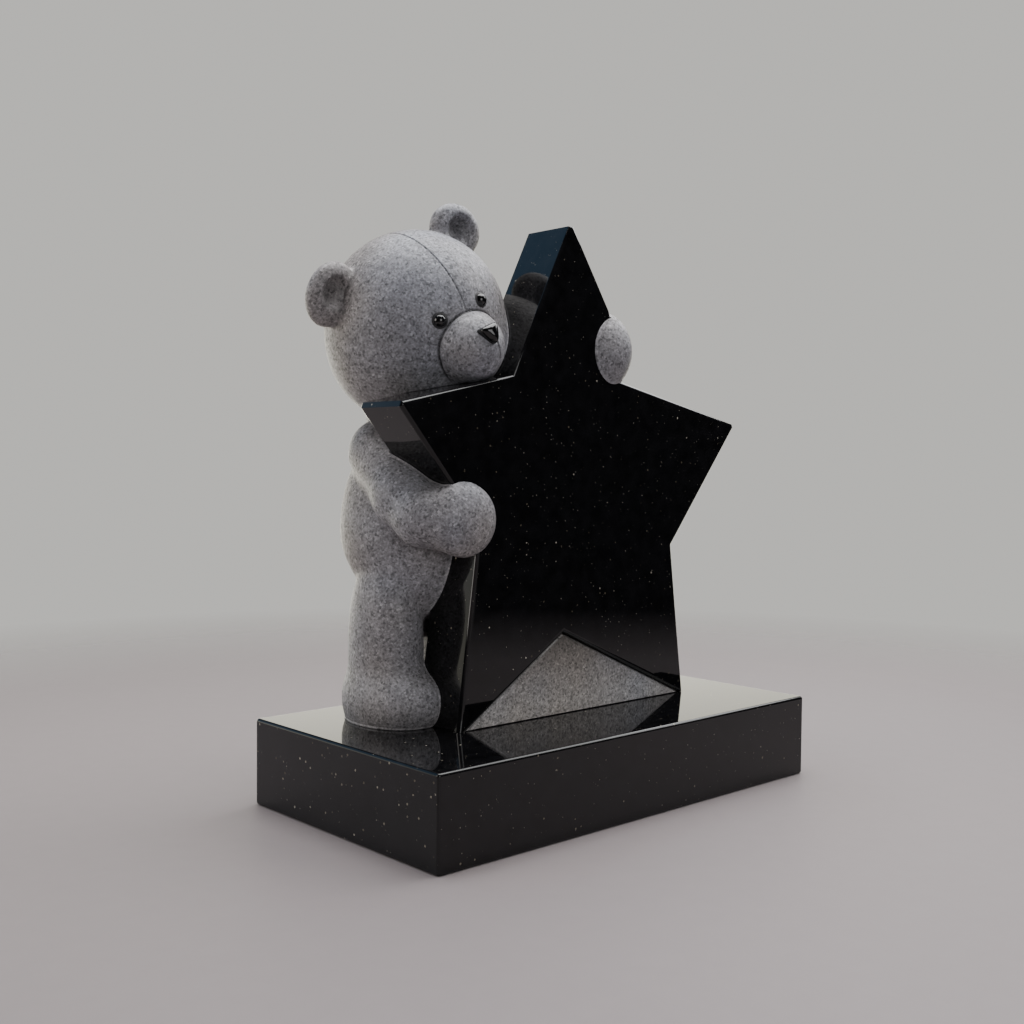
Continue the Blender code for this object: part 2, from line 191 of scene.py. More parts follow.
# Camera: its place, the way it looks in degrees, and the picture's width over the focal length.
CAMERA_PLACE = (-1.04389, -1.07391, 0.40264)
CAMERA_HEADING = 42.584
CAMERA_PITCH = -2.375
CAMERA_ROLL = 0.473
CAMERA_FOCAL_SHARE = 1.19568

# Lights: place, width, height and colour of each, all turned to one target.
LIGHT_TARGET = (0.0, 0.0, 0.35)
LIGHTS = {
    "overhead": ((0.15, 0.1, 2.3), 2.2, 1.8, (1.0, 1.0, 1.0)),
    "front": ((-0.8, -2.5, 0.75), 1.3, 1.5, (1.0, 1.0, 1.0)),
    "right": ((1.8, -0.1, 1.95), 2.6, 1.3, (1.0, 1.0, 1.0)),
    "side": ((-2.3, 0.9, 0.95), 1.2, 1.2, (1.0, 0.94, 0.88)),
}

# Surroundings: the ways towards their bright and their blue part, and the colours of the parts.
BRIGHT_WAY = (0.35, 0.94, 0.0)
BLUE_WAY = (-0.445, 0.736, 0.511)
DIM_STUDIO = (0.022, 0.022, 0.025, 1.0)
BLUE_STUDIO = (0.20, 0.36, 0.56, 1.0)
BRIGHT_STUDIO = (4.2, 4.05, 3.45, 1.0)


class HeadstoneStone(bpy.types.PropertyGroup):
    """Colours and textures of the stones."""

    black: FloatVectorProperty(
        name="Black granite", description="Colour of the polished stone", subtype="COLOR",
        default=(0.0035, 0.0035, 0.0040), min=0.0, max=1.0,
    )
    fleck: FloatVectorProperty(
        name="Fleck", description="Colour of the mineral flecks in the black stone",
        subtype="COLOR", default=(0.42, 0.39, 0.33), min=0.0, max=1.0,
    )
    grey: FloatVectorProperty(
        name="Grey granite", description="Colour of the carved stone", subtype="COLOR",
        default=(0.235, 0.232, 0.245), min=0.0, max=1.0,
    )
    insert: FloatVectorProperty(
        name="Insert", description="Colour of the stone between the star's feet",
        subtype="COLOR", default=(0.300, 0.290, 0.285), min=0.0, max=1.0,
    )
    fleck_spacing: FloatProperty(
        name="Fleck spacing", description="Size of the cells that hold one fleck each",
        default=0.0095, min=0.001, max=0.1, unit="LENGTH",
    )
    grain: FloatProperty(
        name="Grain", description="Size of the grey stone's crystals",
        default=0.0026, min=0.0005, max=0.02, unit="LENGTH",
    )
    polish: FloatProperty(
        name="Polish", description="Roughness of the polished stone",
        default=0.035, min=0.0, max=1.0, subtype="FACTOR",
    )
    hone: FloatProperty(
        name="Hone", description="Roughness of the carved stone",
        default=0.47, min=0.0, max=1.0, subtype="FACTOR",
    )


class HeadstoneSizes(bpy.types.PropertyGroup):
    """Sizes of the finer work on the pieces."""

    base_edge: FloatProperty(
        name="Base edge", description="Radius of the base's edges",
        default=0.0035, min=0.0005, max=0.02, unit="LENGTH",
    )
    star_edge: FloatProperty(
        name="Star edge", description="Radius of the star's edges",
        default=0.0050, min=0.0005, max=0.01, unit="LENGTH",
    )
    carving_step: FloatProperty(
        name="Carving step", description="Distance between points of the bear's surface",
        default=0.0034, min=0.001, max=0.01, unit="LENGTH",
    )
    lip: FloatProperty(
        name="Lip", description="Radius of the rolled lip where the bear meets black stone",
        default=0.0021, min=0.0005, max=0.01, unit="LENGTH",
    )
    seam: FloatProperty(
        name="Seam", description="Half the width of the seams cut in the head",
        default=0.0015, min=0.0003, max=0.01, unit="LENGTH",
    )
    socket: FloatProperty(
        name="Eye socket", description="Gap between an eye and the edge of its socket",
        default=0.0016, min=0.0003, max=0.01, unit="LENGTH",
    )


class HeadstoneStage(bpy.types.PropertyGroup):
    """Floor, light and surroundings."""

    floor: FloatVectorProperty(
        name="Floor", description="Colour of the floor", subtype="COLOR",
        default=(0.255, 0.222, 0.226), min=0.0, max=1.0,
    )
    floor_reach: FloatProperty(
        name="Floor reach", description="Distance at which the floor has faded out",
        default=1.9, min=0.5, max=20.0, unit="LENGTH",
    )
    backdrop: FloatVectorProperty(
        name="Backdrop", description="Colour behind the object", subtype="COLOR",
        default=(0.62, 0.61, 0.58), min=0.0, max=1.0,
    )
    overhead: FloatProperty(
        name="Overhead light", description="Power of the large light above",
        default=88.0, min=0.0, max=1000.0, unit="POWER",
    )
    front: FloatProperty(
        name="Front light", description="Power of the light before the star's face",
        default=18.0, min=0.0, max=1000.0, unit="POWER",
    )
    right: FloatProperty(
        name="Right light", description="Power of the long light high on the right",
        default=48.0, min=0.0, max=1000.0, unit="POWER",
    )
    side: FloatProperty(
        name="Side light", description="Power of the light on the bear's side",
        default=20.0, min=0.0, max=1000.0, unit="POWER",
    )


# Mesh helpers.

def wrapped_faces(rings, around):
    """Four-sided faces between neighbouring rings of a grid whose rings close on themselves."""
    ring, place = np.meshgrid(np.arange(rings - 1), np.arange(around), indexing="ij")
    after = (place + 1) % around
    here = ring * around
    faces = np.stack((here + place, here + after, here + around + after, here + around + place), -1)
    return faces.reshape(-1, 4)


def add_mesh(name, points, faces, caps=()):
    """A mesh of four-sided faces and closing caps, its doubles merged and faces turned outward."""
    mesh = bpy.data.meshes.new(name)
    mesh.from_pydata(points.reshape(-1, 3), [], faces.tolist() + [list(cap) for cap in caps])
    bm = bmesh.new()
    bm.from_mesh(mesh)
    bmesh.ops.remove_doubles(bm, verts=bm.verts, dist=1e-6)
    bmesh.ops.dissolve_degenerate(bm, edges=bm.edges, dist=1e-6)
    bmesh.ops.recalc_face_normals(bm, faces=bm.faces)
    if bm.calc_volume(signed=True) < 0:
        bmesh.ops.reverse_faces(bm, faces=bm.faces)
    bm.to_mesh(mesh)
    bm.free()
    return mesh


def closed_rings(name, rings):
    """A closed mesh of rings given as one array, its first and last ring filled."""
    count, around = rings.shape[:2]
    last = (count - 1) * around
    caps = (range(around), range(last, last + around))
    return add_mesh(name, rings, wrapped_faces(count, around), caps)


def add_piece(name, mesh, material, sharp_degrees=None):
    piece = bpy.data.objects.new(name, mesh)
    bpy.context.scene.collection.objects.link(piece)
    mesh.materials.clear()
    mesh.materials.append(material)
    mesh.shade_smooth()
    if sharp_degrees is not None:
        mesh.set_sharp_from_angle(angle=math.radians(sharp_degrees))
        weigh = piece.modifiers.new("flat faces stay flat", "WEIGHTED_NORMAL")
        weigh.keep_sharp = True
    return piece


def finish_piece(piece, slot, *nodes):
    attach(piece, "root")
    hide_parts(*nodes)


# Flat stones.

def cross(first, second):
    return first[..., 0] * second[..., 1] - first[..., 1] * second[..., 0]


def crossing(start, along, other_start, other_along):
    """Where pairs of lines meet: start + along * cross(other_start - start, other_along) / cross."""
    share = cross(other_start - start, other_along) / cross(along, other_along)
    return start + along * share[..., None]


def inset_outline(corners, widths):
    """Each side moved inward by its own width. A corner is where its two moved sides cross, and a
    side that would turn round closes to the crossing of its neighbours."""
    along = np.roll(corners, -1, axis=0) - corners
    turning = np.sign(cross(corners, np.roll(corners, -1, axis=0)).sum())
    along /= np.linalg.norm(along, axis=1)[:, None]
    inward = np.stack((-along[:, 1], along[:, 0]), axis=1) * turning
    start = corners + inward * np.asarray(widths)[:, None]
    before, before_along = np.roll(start, 1, axis=0), np.roll(along, 1, axis=0)
    after, after_along = np.roll(start, -1, axis=0), np.roll(along, -1, axis=0)
    points = crossing(before, before_along, start, along)
    closed = ((np.roll(points, -1, axis=0) - points) * along).sum(axis=1) <= 0
    meeting = crossing(before, before_along, after, after_along)
    points[closed] = meeting[closed]
    points[np.roll(closed, 1)] = meeting[closed]
    return points


def towards(points, others, reach):
    """Points moved by a reach along the way to others, and left alone where the two meet."""
    way = others - points
    length = np.maximum(np.linalg.norm(way, axis=1), 1e-9)
    return points + way * (reach / length)[:, None]


def edged_slab(name, corners, tips, widths, depth, front, back, steps=9):
    """A slab on edge whose outline runs in X and Z. Round both faces its edge is a quarter of an
    ellipse: inset = width * (1 - sin t), depth from the face = depth * (1 - cos t)."""
    turns = np.linspace(0, math.pi / 2, steps + 1)
    widths = np.asarray(widths)
    rings = []
    for turn in turns:
        outline = inset_outline(corners, widths * (1 - math.sin(turn)))
        reach = tips * STAR_TIP_CUT * math.sin(turn)
        before = towards(outline, np.roll(outline, 1, axis=0), reach)
        after = towards(outline, np.roll(outline, -1, axis=0), reach)
        rings.append(np.stack((before, after), axis=1).reshape(-1, 2))
    rings = np.array(rings)
    rings = np.concatenate((rings, rings[::-1]))
    inward = depth * (1 - np.cos(turns))
    places = np.concatenate((front + inward, (back - inward)[::-1]))
    y = np.broadcast_to(places[:, None], rings.shape[:2])
    return closed_rings(name, np.stack((rings[..., 0], y, rings[..., 1]), axis=-1))


def rounded_block(name, low, high, radius, steps=8):
    """A block with rounded edges: point = corner of the inner block on that side + radius *
    direction, over all directions (cos a cos b, sin a cos b, sin b) of a ball."""
    quarter = np.linspace(0, math.pi / 2, steps + 1)
    round_turn = np.concatenate([quarter + math.pi / 2 * side for side in range(4)])
    round_x = np.repeat((1, -1, -1, 1), steps + 1)
    round_y = np.repeat((1, 1, -1, -1), steps + 1)
    rise = np.concatenate((quarter - math.pi / 2, quarter))
    rise_z = np.repeat((-1, 1), steps + 1)
    b, a = np.meshgrid(rise, round_turn, indexing="ij")
    direction = np.stack((np.cos(a) * np.cos(b), np.sin(a) * np.cos(b), np.sin(b)), axis=-1)
    side = np.empty_like(direction)
    side[..., 0] = round_x
    side[..., 1] = round_y
    side[..., 2] = rise_z[:, None]
    middle = (low + high) / 2
    inner = (high - low) / 2 - radius
    return closed_rings(name, middle + side * inner + direction * radius)


# The bear's form.

def body_axes():
    """Columns: sideways, forward and up of the bear's body."""
    turn = Matrix.Rotation(BEAR_TURN, 3, "Z")
    return np.array(turn @ Matrix(((1, 0, 0), (0, -1, 0), (0, 0, 1))))


def head_axes():
    """Columns: sideways, forward and up of the bear's head."""
    lean = Matrix.Rotation(HEAD_LEAN, 3, "Y")
    turn = Matrix.Rotation(BEAR_TURN, 3, "Z")
    nod = Matrix.Rotation(HEAD_NOD, 3, "X")
    return np.array(lean @ turn @ nod @ Matrix(((1, 0, 0), (0, -1, 0), (0, 0, 1))))


def on_body(place):
    return np.array((BEAR_X, BEAR_Y, BASE_TOP)) + body_axes() @ np.array(place)


def head_middle():
    return on_body(HEAD_PLACE)


def on_head(place):
    return head_middle() + head_axes() @ (np.array(place) * HEAD_RADIUS)


def ear_axes(place):
    """Columns: across the ear, out from the head's face, and away from the head's middle."""
    out = np.array((place[0], 0.0, place[2]))
    out /= np.linalg.norm(out)
    forward = np.array((0.0, 1.0, 0.0))
    return head_axes() @ np.stack((np.cross(forward, out), forward, out), axis=1)


def eye_middle(side):
    forward = math.sqrt(1 - side**2 - EYE_UP**2) - EYE_SET_IN / HEAD_RADIUS
    return on_head((side, forward, EYE_UP))


def ball(points, middle, radius):
    return np.linalg.norm(points - middle, axis=1) - radius


def ellipsoid(points, middle, axes, radii, fullness=2.0, drop=None):
    """Distance from |x/a|^n + |y/b|^n + |z/c|^n = 1, close to true near its surface and negative
    inside. Its lower half may have its own drop, and a fullness n over 2 squares its sections."""
    local = (points - middle) @ axes
    radii = np.broadcast_to(radii, local.shape).copy()
    if drop is not None:
        radii[local[:, 2] < 0, 2] = drop
    share = np.abs(local / radii)
    reach = np.maximum((share**fullness).sum(axis=1), 1e-12) ** (1 / fullness)
    slope = np.linalg.norm(share ** (fullness - 1) / radii, axis=1)
    return (reach - 1) * reach ** (fullness - 1) / np.maximum(slope, 1e-9)


def rounded_length(points, start, end, start_radius, end_radius):
    """Distance from a tapering length with round ends."""
    along = end - start
    share = np.clip((points - start) @ along / (along @ along), 0, 1)
    nearest = start + share[:, None] * along
    return np.linalg.norm(points - nearest, axis=1) - start_radius - share * (
        end_radius - start_radius
    )


def blend(first, second, reach):
    """The union of two forms with a soft fillet of the given reach."""
    share = np.clip(0.5 + 0.5 * (second - first) / reach, 0, 1)
    return second + share * (first - second) - reach * share * (1 - share)


def carve(form, hollow, reach):
    return -blend(-form, hollow, reach)


def limb(points, joints):
    """Distance from a chain of rounded lengths, blended where they bend."""
    placed = [(on_body(place), radius) for place, radius in joints]
    distance = None
    for (a, ra), (b, rb) in zip(placed, placed[1:]):
        length = rounded_length(points, a, b, ra, rb)
        distance = length if distance is None else blend(distance, length, BLEND_LIMB)
    return distance


def body_distance(points):
    """Torso, belly, neck, legs, feet and arms."""
    axes = body_axes()
    torso = on_body((0, 0, TORSO_HEIGHT))
    body = ellipsoid(points, torso, axes, TORSO_RADII, drop=TORSO_DROP)
    belly = ellipsoid(points, on_body(BELLY_PLACE), axes, BELLY_RADII)
    body = blend(body, belly, BLEND_BODY)
    neck = ellipsoid(points, on_body((0, 0, NECK_HEIGHT)), axes, NECK_RADII)
    body = blend(body, neck, BLEND_BODY)
    for leg_side, foot_side in zip(LEG_SIDES, FOOT_SIDES):
        place = (leg_side, LEG_FORWARD, LEG_HEIGHT)
        leg = ellipsoid(points, on_body(place), axes, LEG_RADII, drop=10 * LEG_HEIGHT)
        place = (foot_side, FOOT_FORWARD, FOOT_HEIGHT)
        foot = ellipsoid(points, on_body(place), axes, FOOT_RADII, FOOT_FULLNESS)
        body = blend(body, blend(leg, foot, BLEND_BODY), BLEND_CREASE)
    for arm, (place, radii) in zip((RIGHT_ARM, LEFT_ARM), PAWS):
        paw = ellipsoid(points, on_body(place), axes, radii)
        body = blend(body, blend(limb(points, arm), paw, BLEND_LIMB), BLEND_CREASE)
    return body


def skull_distance(points):
    """The head's ball with its cheeks and hollowed ears, without the muzzle."""
    skull = ball(points, head_middle(), HEAD_RADIUS)
    for place, radius in CHEEKS:
        skull = blend(skull, ball(points, on_head(place), radius * HEAD_RADIUS), BLEND_BODY)
    for place in EAR_PLACES:
        axes = ear_axes(place)
        ear = ellipsoid(points, on_head(place), axes, np.array(EAR_RADII) * HEAD_RADIUS)
        dish = (place[0], place[1] + EAR_RADII[1], place[2] + EAR_HOLLOW_RISE)
        hollow_radii = np.array(EAR_HOLLOW_RADII) * HEAD_RADIUS
        hollow = ellipsoid(points, on_head(dish), axes, hollow_radii)
        skull = blend(skull, carve(ear, hollow, BLEND_CREASE), BLEND_CREASE)
    return skull


def muzzle_distance(points):
    radii = np.array(MUZZLE_RADII) * HEAD_RADIUS
    drop = MUZZLE_DROP * HEAD_RADIUS
    return ellipsoid(points, on_head(MUZZLE_PLACE), head_axes(), radii, drop=drop)


def head_distance(points, skull, muzzle):
    """Skull and muzzle together: a sharp crease between them above, a soft one under the chin."""
    up = (points - head_middle()) @ head_axes()[:, 2] / HEAD_RADIUS
    chin = np.clip((CHIN_HIGH - up) / CHIN_DEPTH, 0, 1)
    return blend(skull, muzzle, BLEND_MUZZLE + (BLEND_CHIN - BLEND_MUZZLE) * chin)


def star_outline(foot=0.0):
    """The star's corners in X and Z, its feet at the given height above the base."""
    corners = np.array(list(STAR_CORNERS.values()))
    corners[corners[:, 1] == 0, 1] = foot
    return corners + (0, BASE_TOP)


def clearance_outline():
    """The outline of star and insert together."""
    inside = ("right foot inside", "foot notch", "left foot inside")
    kept = np.array([name not in inside for name in STAR_CORNERS])
    return star_outline()[kept]


def outline_distance(flat, corners):
    """Distance in a plane from a closed outline, negative inside: the shortest way to any of its
    sides, with the sign of the count of sides that a ray crosses."""
    after = np.roll(corners, -1, axis=0)
    along = after - corners
    offset = flat[:, None, :] - corners[None]
    share = np.clip((offset * along).sum(-1) / (along**2).sum(-1), 0, 1)
    nearest = np.linalg.norm(offset - share[..., None] * along, axis=-1).min(axis=1)
    above = (corners[:, 1] > flat[:, 1:]) != (after[:, 1] > flat[:, 1:])
    rise = np.where(along[:, 1] == 0, 1.0, along[:, 1])
    right = flat[:, :1] < corners[:, 0] + (flat[:, 1:] - corners[:, 1]) * along[:, 0] / rise
    inside = (above & right).sum(axis=1) % 2 == 1
    return np.where(inside, -nearest, nearest)


def stone_gap(points):
    """Distance from the black stone that the bear meets, the star's slab or the base's top,
    negative inside."""
    flat = outline_distance(points[:, (0, 2)], clearance_outline())
    middle = (STAR_FRONT + STAR_BACK) / 2
    deep = np.abs(points[:, 1] - middle) - (STAR_BACK - STAR_FRONT) / 2
    outside = np.hypot(np.maximum(flat, 0), np.maximum(deep, 0))
    star = outside + np.minimum(np.maximum(flat, deep), 0)
    return np.minimum(star, points[:, 2] - BASE_TOP)


def groove(offset, half_width):
    """A groove's section: 1 at its middle, falling to 0 at its sides as (1 - x^2)^2."""
    return np.maximum(1 - (offset / half_width) ** 2, 0) ** 2


def seam_lines(points, skull, muzzle, half_width):
    """How deep each point lies in a cut line: round the muzzle, over the head's middle, and from
    the nose down the muzzle."""
    local = (points - head_middle()) @ head_axes() / HEAD_RADIUS
    bow = SEAM_BOW * np.maximum(1 - (local[:, 2] / SEAM_HIGH - 1) ** 2, 0)
    side = (local[:, 0] - bow) * HEAD_RADIUS
    on_skull = np.clip((muzzle - skull) / (2 * half_width), 0, 1)
    upper = np.clip((local[:, 2] - SEAM_END) / 0.1, 0, 1)
    middle = groove(side, half_width) * on_skull * upper
    below_nose = np.clip((NOSE_PLACE[2] + 0.02 - local[:, 2]) / 0.03, 0, 1)
    above_chin = np.clip((local[:, 2] - LIP_LINE_END) / 0.08, 0, 1)
    lip_side = (local[:, 0] - LIP_LINE_SIDE) * HEAD_RADIUS
    lip_line = groove(lip_side, 1.1 * half_width) * (1 - on_skull) * below_nose * above_chin
    fading = np.clip((local[:, 2] - MUZZLE_CUT_END) / 0.2, 0, 1)
    round_muzzle = groove(skull - muzzle, 1.6 * half_width) * (local[:, 1] > 0) * fading
    near_head = np.abs(np.minimum(skull, muzzle)) < 6 * half_width
    return np.maximum(np.maximum(middle, lip_line), round_muzzle) * near_head


def bear_form(points):
    """Distance from the bear without its fine cuts, and the fine marks at each point. The chin
    rests on the star's left arm without a lip."""
    sizes = bpy.context.scene.headstone_sizes
    skull = skull_distance(points)
    muzzle = muzzle_distance(points)
    head = head_distance(points, skull, muzzle)
    form = blend(body_distance(points), head, BLEND_CREASE)
    gap = stone_gap(points)
    lip = np.sqrt(np.maximum(1 - (np.maximum(gap, 0) / (LIP_REACH * sizes.lip)) ** 2, 0))
    rest_end, _ = STAR_CORNERS["left notch"]
    _, rest_height = STAR_CORNERS["left point"]
    resting = (points[:, 0] < rest_end) & (points[:, 2] > BASE_TOP + rest_height - STAR_TIP_CUT)
    lip[resting] = 0
    seams = seam_lines(points, skull, muzzle, sizes.seam)
    sockets = np.full(len(points), 1.0)
    for side in EYE_SIDES:
        reach = ball(points, eye_middle(side), EYE_RADIUS + sizes.socket)
        sockets = np.minimum(sockets, reach)
    return form, gap, lip, seams, sockets


def fine_distance(points):
    """Distance from the finished bear: lips swell it, seams and sockets are cut into it."""
    sizes = bpy.context.scene.headstone_sizes
    form, _, lip, seams, sockets = bear_form(points)
    form = form - LIP_RISE * sizes.lip * lip + 1.1 * sizes.seam * seams
    return carve(form, sockets, BLEND_SOCKET)


def rough_distance(points):
    head = head_distance(points, skull_distance(points), muzzle_distance(points))
    return blend(body_distance(points), head, BLEND_CREASE)


def ball_grid(middle, axes, radii, rings=25, around=48):
    """An ellipsoid: point = middle + axes * radii * (cos a sin b, sin a sin b, cos b)."""
    b = np.linspace(0, math.pi, rings)
    a = np.linspace(0, 2 * math.pi, around, endpoint=False)
    b, a = np.meshgrid(b, a, indexing="ij")
    unit = np.stack((np.cos(a) * np.sin(b), np.sin(a) * np.sin(b), np.cos(b)), axis=-1)
    return middle + (unit * radii) @ np.asarray(axes).T


def rough_forms():
    """Grids of overlapping balls in the places of the bear's forms."""
    axes = body_axes()
    head = head_axes()
    grids = [
        ball_grid(on_body((0, 0, TORSO_HEIGHT)), axes, TORSO_RADII),
        ball_grid(on_body(BELLY_PLACE), axes, BELLY_RADII),
        ball_grid(on_body((0, 0, NECK_HEIGHT)), axes, NECK_RADII),
        ball_grid(head_middle(), np.eye(3), (HEAD_RADIUS,) * 3),
        ball_grid(on_head(MUZZLE_PLACE), head, np.array(MUZZLE_RADII) * HEAD_RADIUS),
    ]
    for leg_side, foot_side in zip(LEG_SIDES, FOOT_SIDES):
        grids.append(ball_grid(on_body((leg_side, LEG_FORWARD, LEG_HEIGHT)), axes, LEG_RADII))
        place = on_body((foot_side, FOOT_FORWARD, FOOT_HEIGHT))
        grids.append(ball_grid(place, axes, FOOT_RADII))
    for place in EAR_PLACES:
        radii = np.array(EAR_RADII) * HEAD_RADIUS
        grids.append(ball_grid(on_head(place), ear_axes(place), radii))
    for place, radius in CHEEKS:
        grids.append(ball_grid(on_head(place), np.eye(3), (radius * HEAD_RADIUS,) * 3))
    for place, radii in PAWS:
        grids.append(ball_grid(on_body(place), axes, radii))
    for arm in (RIGHT_ARM, LEFT_ARM):
        placed = [(on_body(place), radius) for place, radius in arm]
        for (a, ra), (b, rb) in zip(placed, placed[1:]):
            for share in np.linspace(0, 1, 9):
                radius = ra + (rb - ra) * share
                grids.append(ball_grid(a + (b - a) * share, np.eye(3), (radius,) * 3))
    return grids


def mesh_points(mesh):
    points = np.empty(len(mesh.vertices) * 3, np.float32)
    mesh.vertices.foreach_get("co", points)
    return points.reshape(-1, 3).astype(np.float64)


def set_mesh_points(mesh, points):
    mesh.vertices.foreach_set("co", points.astype(np.float32).ravel())
    mesh.update()


def settle(mesh, distance, rounds, farthest=1.0):
    """Moves a mesh's points onto the surface where the distance is zero, by Newton's steps along
    its slope."""
    points = mesh_points(mesh)
    step = 1e-5
    for _ in range(rounds):
        here = distance(points)
        slope = np.stack(
            [(distance(points + offset) - here) / step for offset in np.eye(3) * step], axis=1
        )
        steep = np.maximum((slope**2).sum(axis=1), 0.25)
        move = -(here / steep)[:, None] * slope
        length = np.linalg.norm(move, axis=1)
        move *= np.minimum(1, farthest / np.maximum(length, 1e-12))[:, None]
        points += move
    set_mesh_points(mesh, points)


def evaluated_copy(thing, name):
    """A mesh with the object's modifiers taken in, and the object removed."""
    graph = bpy.context.evaluated_depsgraph_get()
    mesh = bpy.data.meshes.new_from_object(thing.evaluated_get(graph))
    mesh.name = name
    bpy.data.objects.remove(thing, do_unlink=True)
    return mesh


def mesh_edges(mesh):
    ends = np.empty(len(mesh.edges) * 2, np.int32)
    mesh.edges.foreach_get("vertices", ends)
    return ends.reshape(-1, 2)


def relax(mesh, rounds):
    """Evens out the spacing of a mesh's points."""
    bm = bmesh.new()
    bm.from_mesh(mesh)
    for _ in range(rounds):
        bmesh.ops.smooth_vert(
            bm, verts=bm.verts, factor=0.5, use_axis_x=True, use_axis_y=True, use_axis_z=True
        )
    bm.to_mesh(mesh)
    bm.free()


def keep_outer_shell(mesh):
    """Drops the small closed pockets inside: every point takes the lowest label that it meets
    along its edges, and only the commonest label stays."""
    first, second = mesh_edges(mesh).T
    labels = np.arange(len(mesh.vertices))
    while True:
        lowest = np.minimum(labels[first], labels[second])
        spread = labels.copy()
        np.minimum.at(spread, first, lowest)
        np.minimum.at(spread, second, lowest)
        spread = spread[spread]
        if (spread == labels).all():
            break
        labels = spread
    dropped = np.flatnonzero(labels != np.bincount(labels).argmax())
    bm = bmesh.new()
    bm.from_mesh(mesh)
    bm.verts.ensure_lookup_table()
    bmesh.ops.delete(bm, geom=[bm.verts[i] for i in dropped], context="VERTS")
    bm.to_mesh(mesh)
    bm.free()


def rough_bear():
    """The rough forms closed into one skin of even small faces."""
    grids = rough_forms()
    faces = wrapped_faces(*grids[0].shape[:2])
    count = grids[0].shape[0] * grids[0].shape[1]
    every = np.concatenate([faces + count * i for i in range(len(grids))])
    points = np.concatenate([grid.reshape(-1, 3) for grid in grids])
    thing = bpy.data.objects.new("rough", add_mesh("rough", points, every))
    bpy.context.scene.collection.objects.link(thing)
    remesh = thing.modifiers.new("close", "REMESH")
    remesh.mode = "VOXEL"
    remesh.voxel_size = bpy.context.scene.headstone_sizes.carving_step
    mesh = evaluated_copy(thing, "bear_carved")
    keep_outer_shell(mesh)
    return mesh


def refine(mesh, reach):
    """Splits each edge that has an end within the reach of a lip, a seam or a socket."""
    points = mesh_points(mesh)
    sizes = bpy.context.scene.headstone_sizes
    _, gap, _, _, sockets = bear_form(points)
    near = (gap > -reach) & (gap < 1.6 * sizes.lip + reach)
    near |= np.abs(sockets) < sizes.socket + reach
    skull = skull_distance(points)
    muzzle = muzzle_distance(points)
    near |= seam_lines(points, skull, muzzle, sizes.seam + reach) > 0
    chosen = np.flatnonzero(near[mesh_edges(mesh)].any(axis=1))
    bm = bmesh.new()
    bm.from_mesh(mesh)
    bm.edges.ensure_lookup_table()
    edges = [bm.edges[i] for i in chosen]
    bmesh.ops.subdivide_edges(bm, edges=edges, cuts=1, use_grid_fill=True)
    bmesh.ops.triangulate(bm, faces=[face for face in bm.faces if len(face.verts) > 4])
    bm.to_mesh(mesh)
    bm.free()


def prism(name, corners, near, far):
    """An outline in X and Z carried along Y."""
    rings = np.array([[(x, y, z) for x, z in corners] for y in (near, far)])
    return closed_rings(name, rings)


def cut(mesh, tools):
    """The mesh with closed tools cut out of it."""
    thing = bpy.data.objects.new("uncut", mesh)
    bpy.context.scene.collection.objects.link(thing)
    things = []
    for tool in tools:
        block = bpy.data.objects.new(tool.name, tool)
        bpy.context.scene.collection.objects.link(block)
        things.append(block)
        difference = thing.modifiers.new(tool.name, "BOOLEAN")
        difference.operation = "DIFFERENCE"
        difference.solver = "MANIFOLD"
        difference.object = block
    bpy.context.view_layer.update()
    carved = evaluated_copy(thing, "bear_carved")
    for block in things:
        bpy.data.objects.remove(block, do_unlink=True)
    return carved


def add_marks(mesh):
    """Stores, as point attributes for the carved stone's colour, how deep each point lies in a seam,
    eye socket or ear hollow, which the colour darkens as painted shade, and the rolled lip, which it
    lightens as a painted highlight.
    """
    sizes = bpy.context.scene.headstone_sizes
    points = mesh_points(mesh)
    _, gap, lip, seams, sockets = bear_form(points)
    # Painted shade: the seams, and a dark ring round each eye in its socket.
    depth = np.maximum(seams, np.clip(1 - sockets / 0.0006, 0, 1))
    # Painted shade in the ear hollows, darkest at their bottom.
    for place in EAR_PLACES:
        bottom = place[1] + EAR_RADII[1] - EAR_HOLLOW_RADII[1]
        middle = on_head((place[0], bottom, place[2] + EAR_HOLLOW_RISE))
        away = ball(points, middle, 0.0) / (EAR_HOLLOW_RADII[0] * HEAD_RADIUS)
        depth = np.maximum(depth, 0.62 * np.clip(1.25 - away, 0, 1))
    depth[gap < -0.001] = 0
    # The first value is read as painted shade, the second as where the lip gets a painted highlight.
    for name, values in (("worked", depth), ("lip", lip * (gap < 1.6 * sizes.lip))):
        attribute = mesh.attributes.new(name, "FLOAT", "POINT")
        attribute.data.foreach_set("value", values.astype(np.float32))


def carve_bear():
    mesh = rough_bear()
    settle(mesh, rough_distance, 3, farthest=0.006)
    relax(mesh, 4)
    settle(mesh, rough_distance, 3, farthest=0.006)
    for reach in (0.0024, 0.0009):
        refine(mesh, reach)
        settle(mesh, rough_distance, 1)
    settle(mesh, fine_distance, 4, farthest=0.0006)
    wide = clearance_outline()
    grown = inset_outline(wide, [-JOINT] * len(wide))
    star = prism("star_clearance", grown, STAR_FRONT - JOINT, STAR_BACK + JOINT)
    low = BASE_LOW + (0, 0, JOINT)
    base = rounded_block("base_clearance", low, BASE_HIGH + (0, 0, JOINT), 1e-4, steps=1)
    mesh = cut(mesh, (base, star))
    add_marks(mesh)
    return mesh


# Eyes and nose.

def turned(middle, out, profile, around=64):
    """A profile of (radius, height) turned round the outward axis: point = middle + radius *
    (cos a * u + sin a * v) + height * out."""
    first = np.cross(out, (0.0, 0.0, 1.0))
    first /= np.linalg.norm(first)
    second = np.cross(out, first)
    a = np.linspace(0, 2 * math.pi, around, endpoint=False)
    circle = np.cos(a)[:, None] * first + np.sin(a)[:, None] * second
    radius, height = np.asarray(profile).T
    return middle + radius[:, None, None] * circle + height[:, None, None] * out


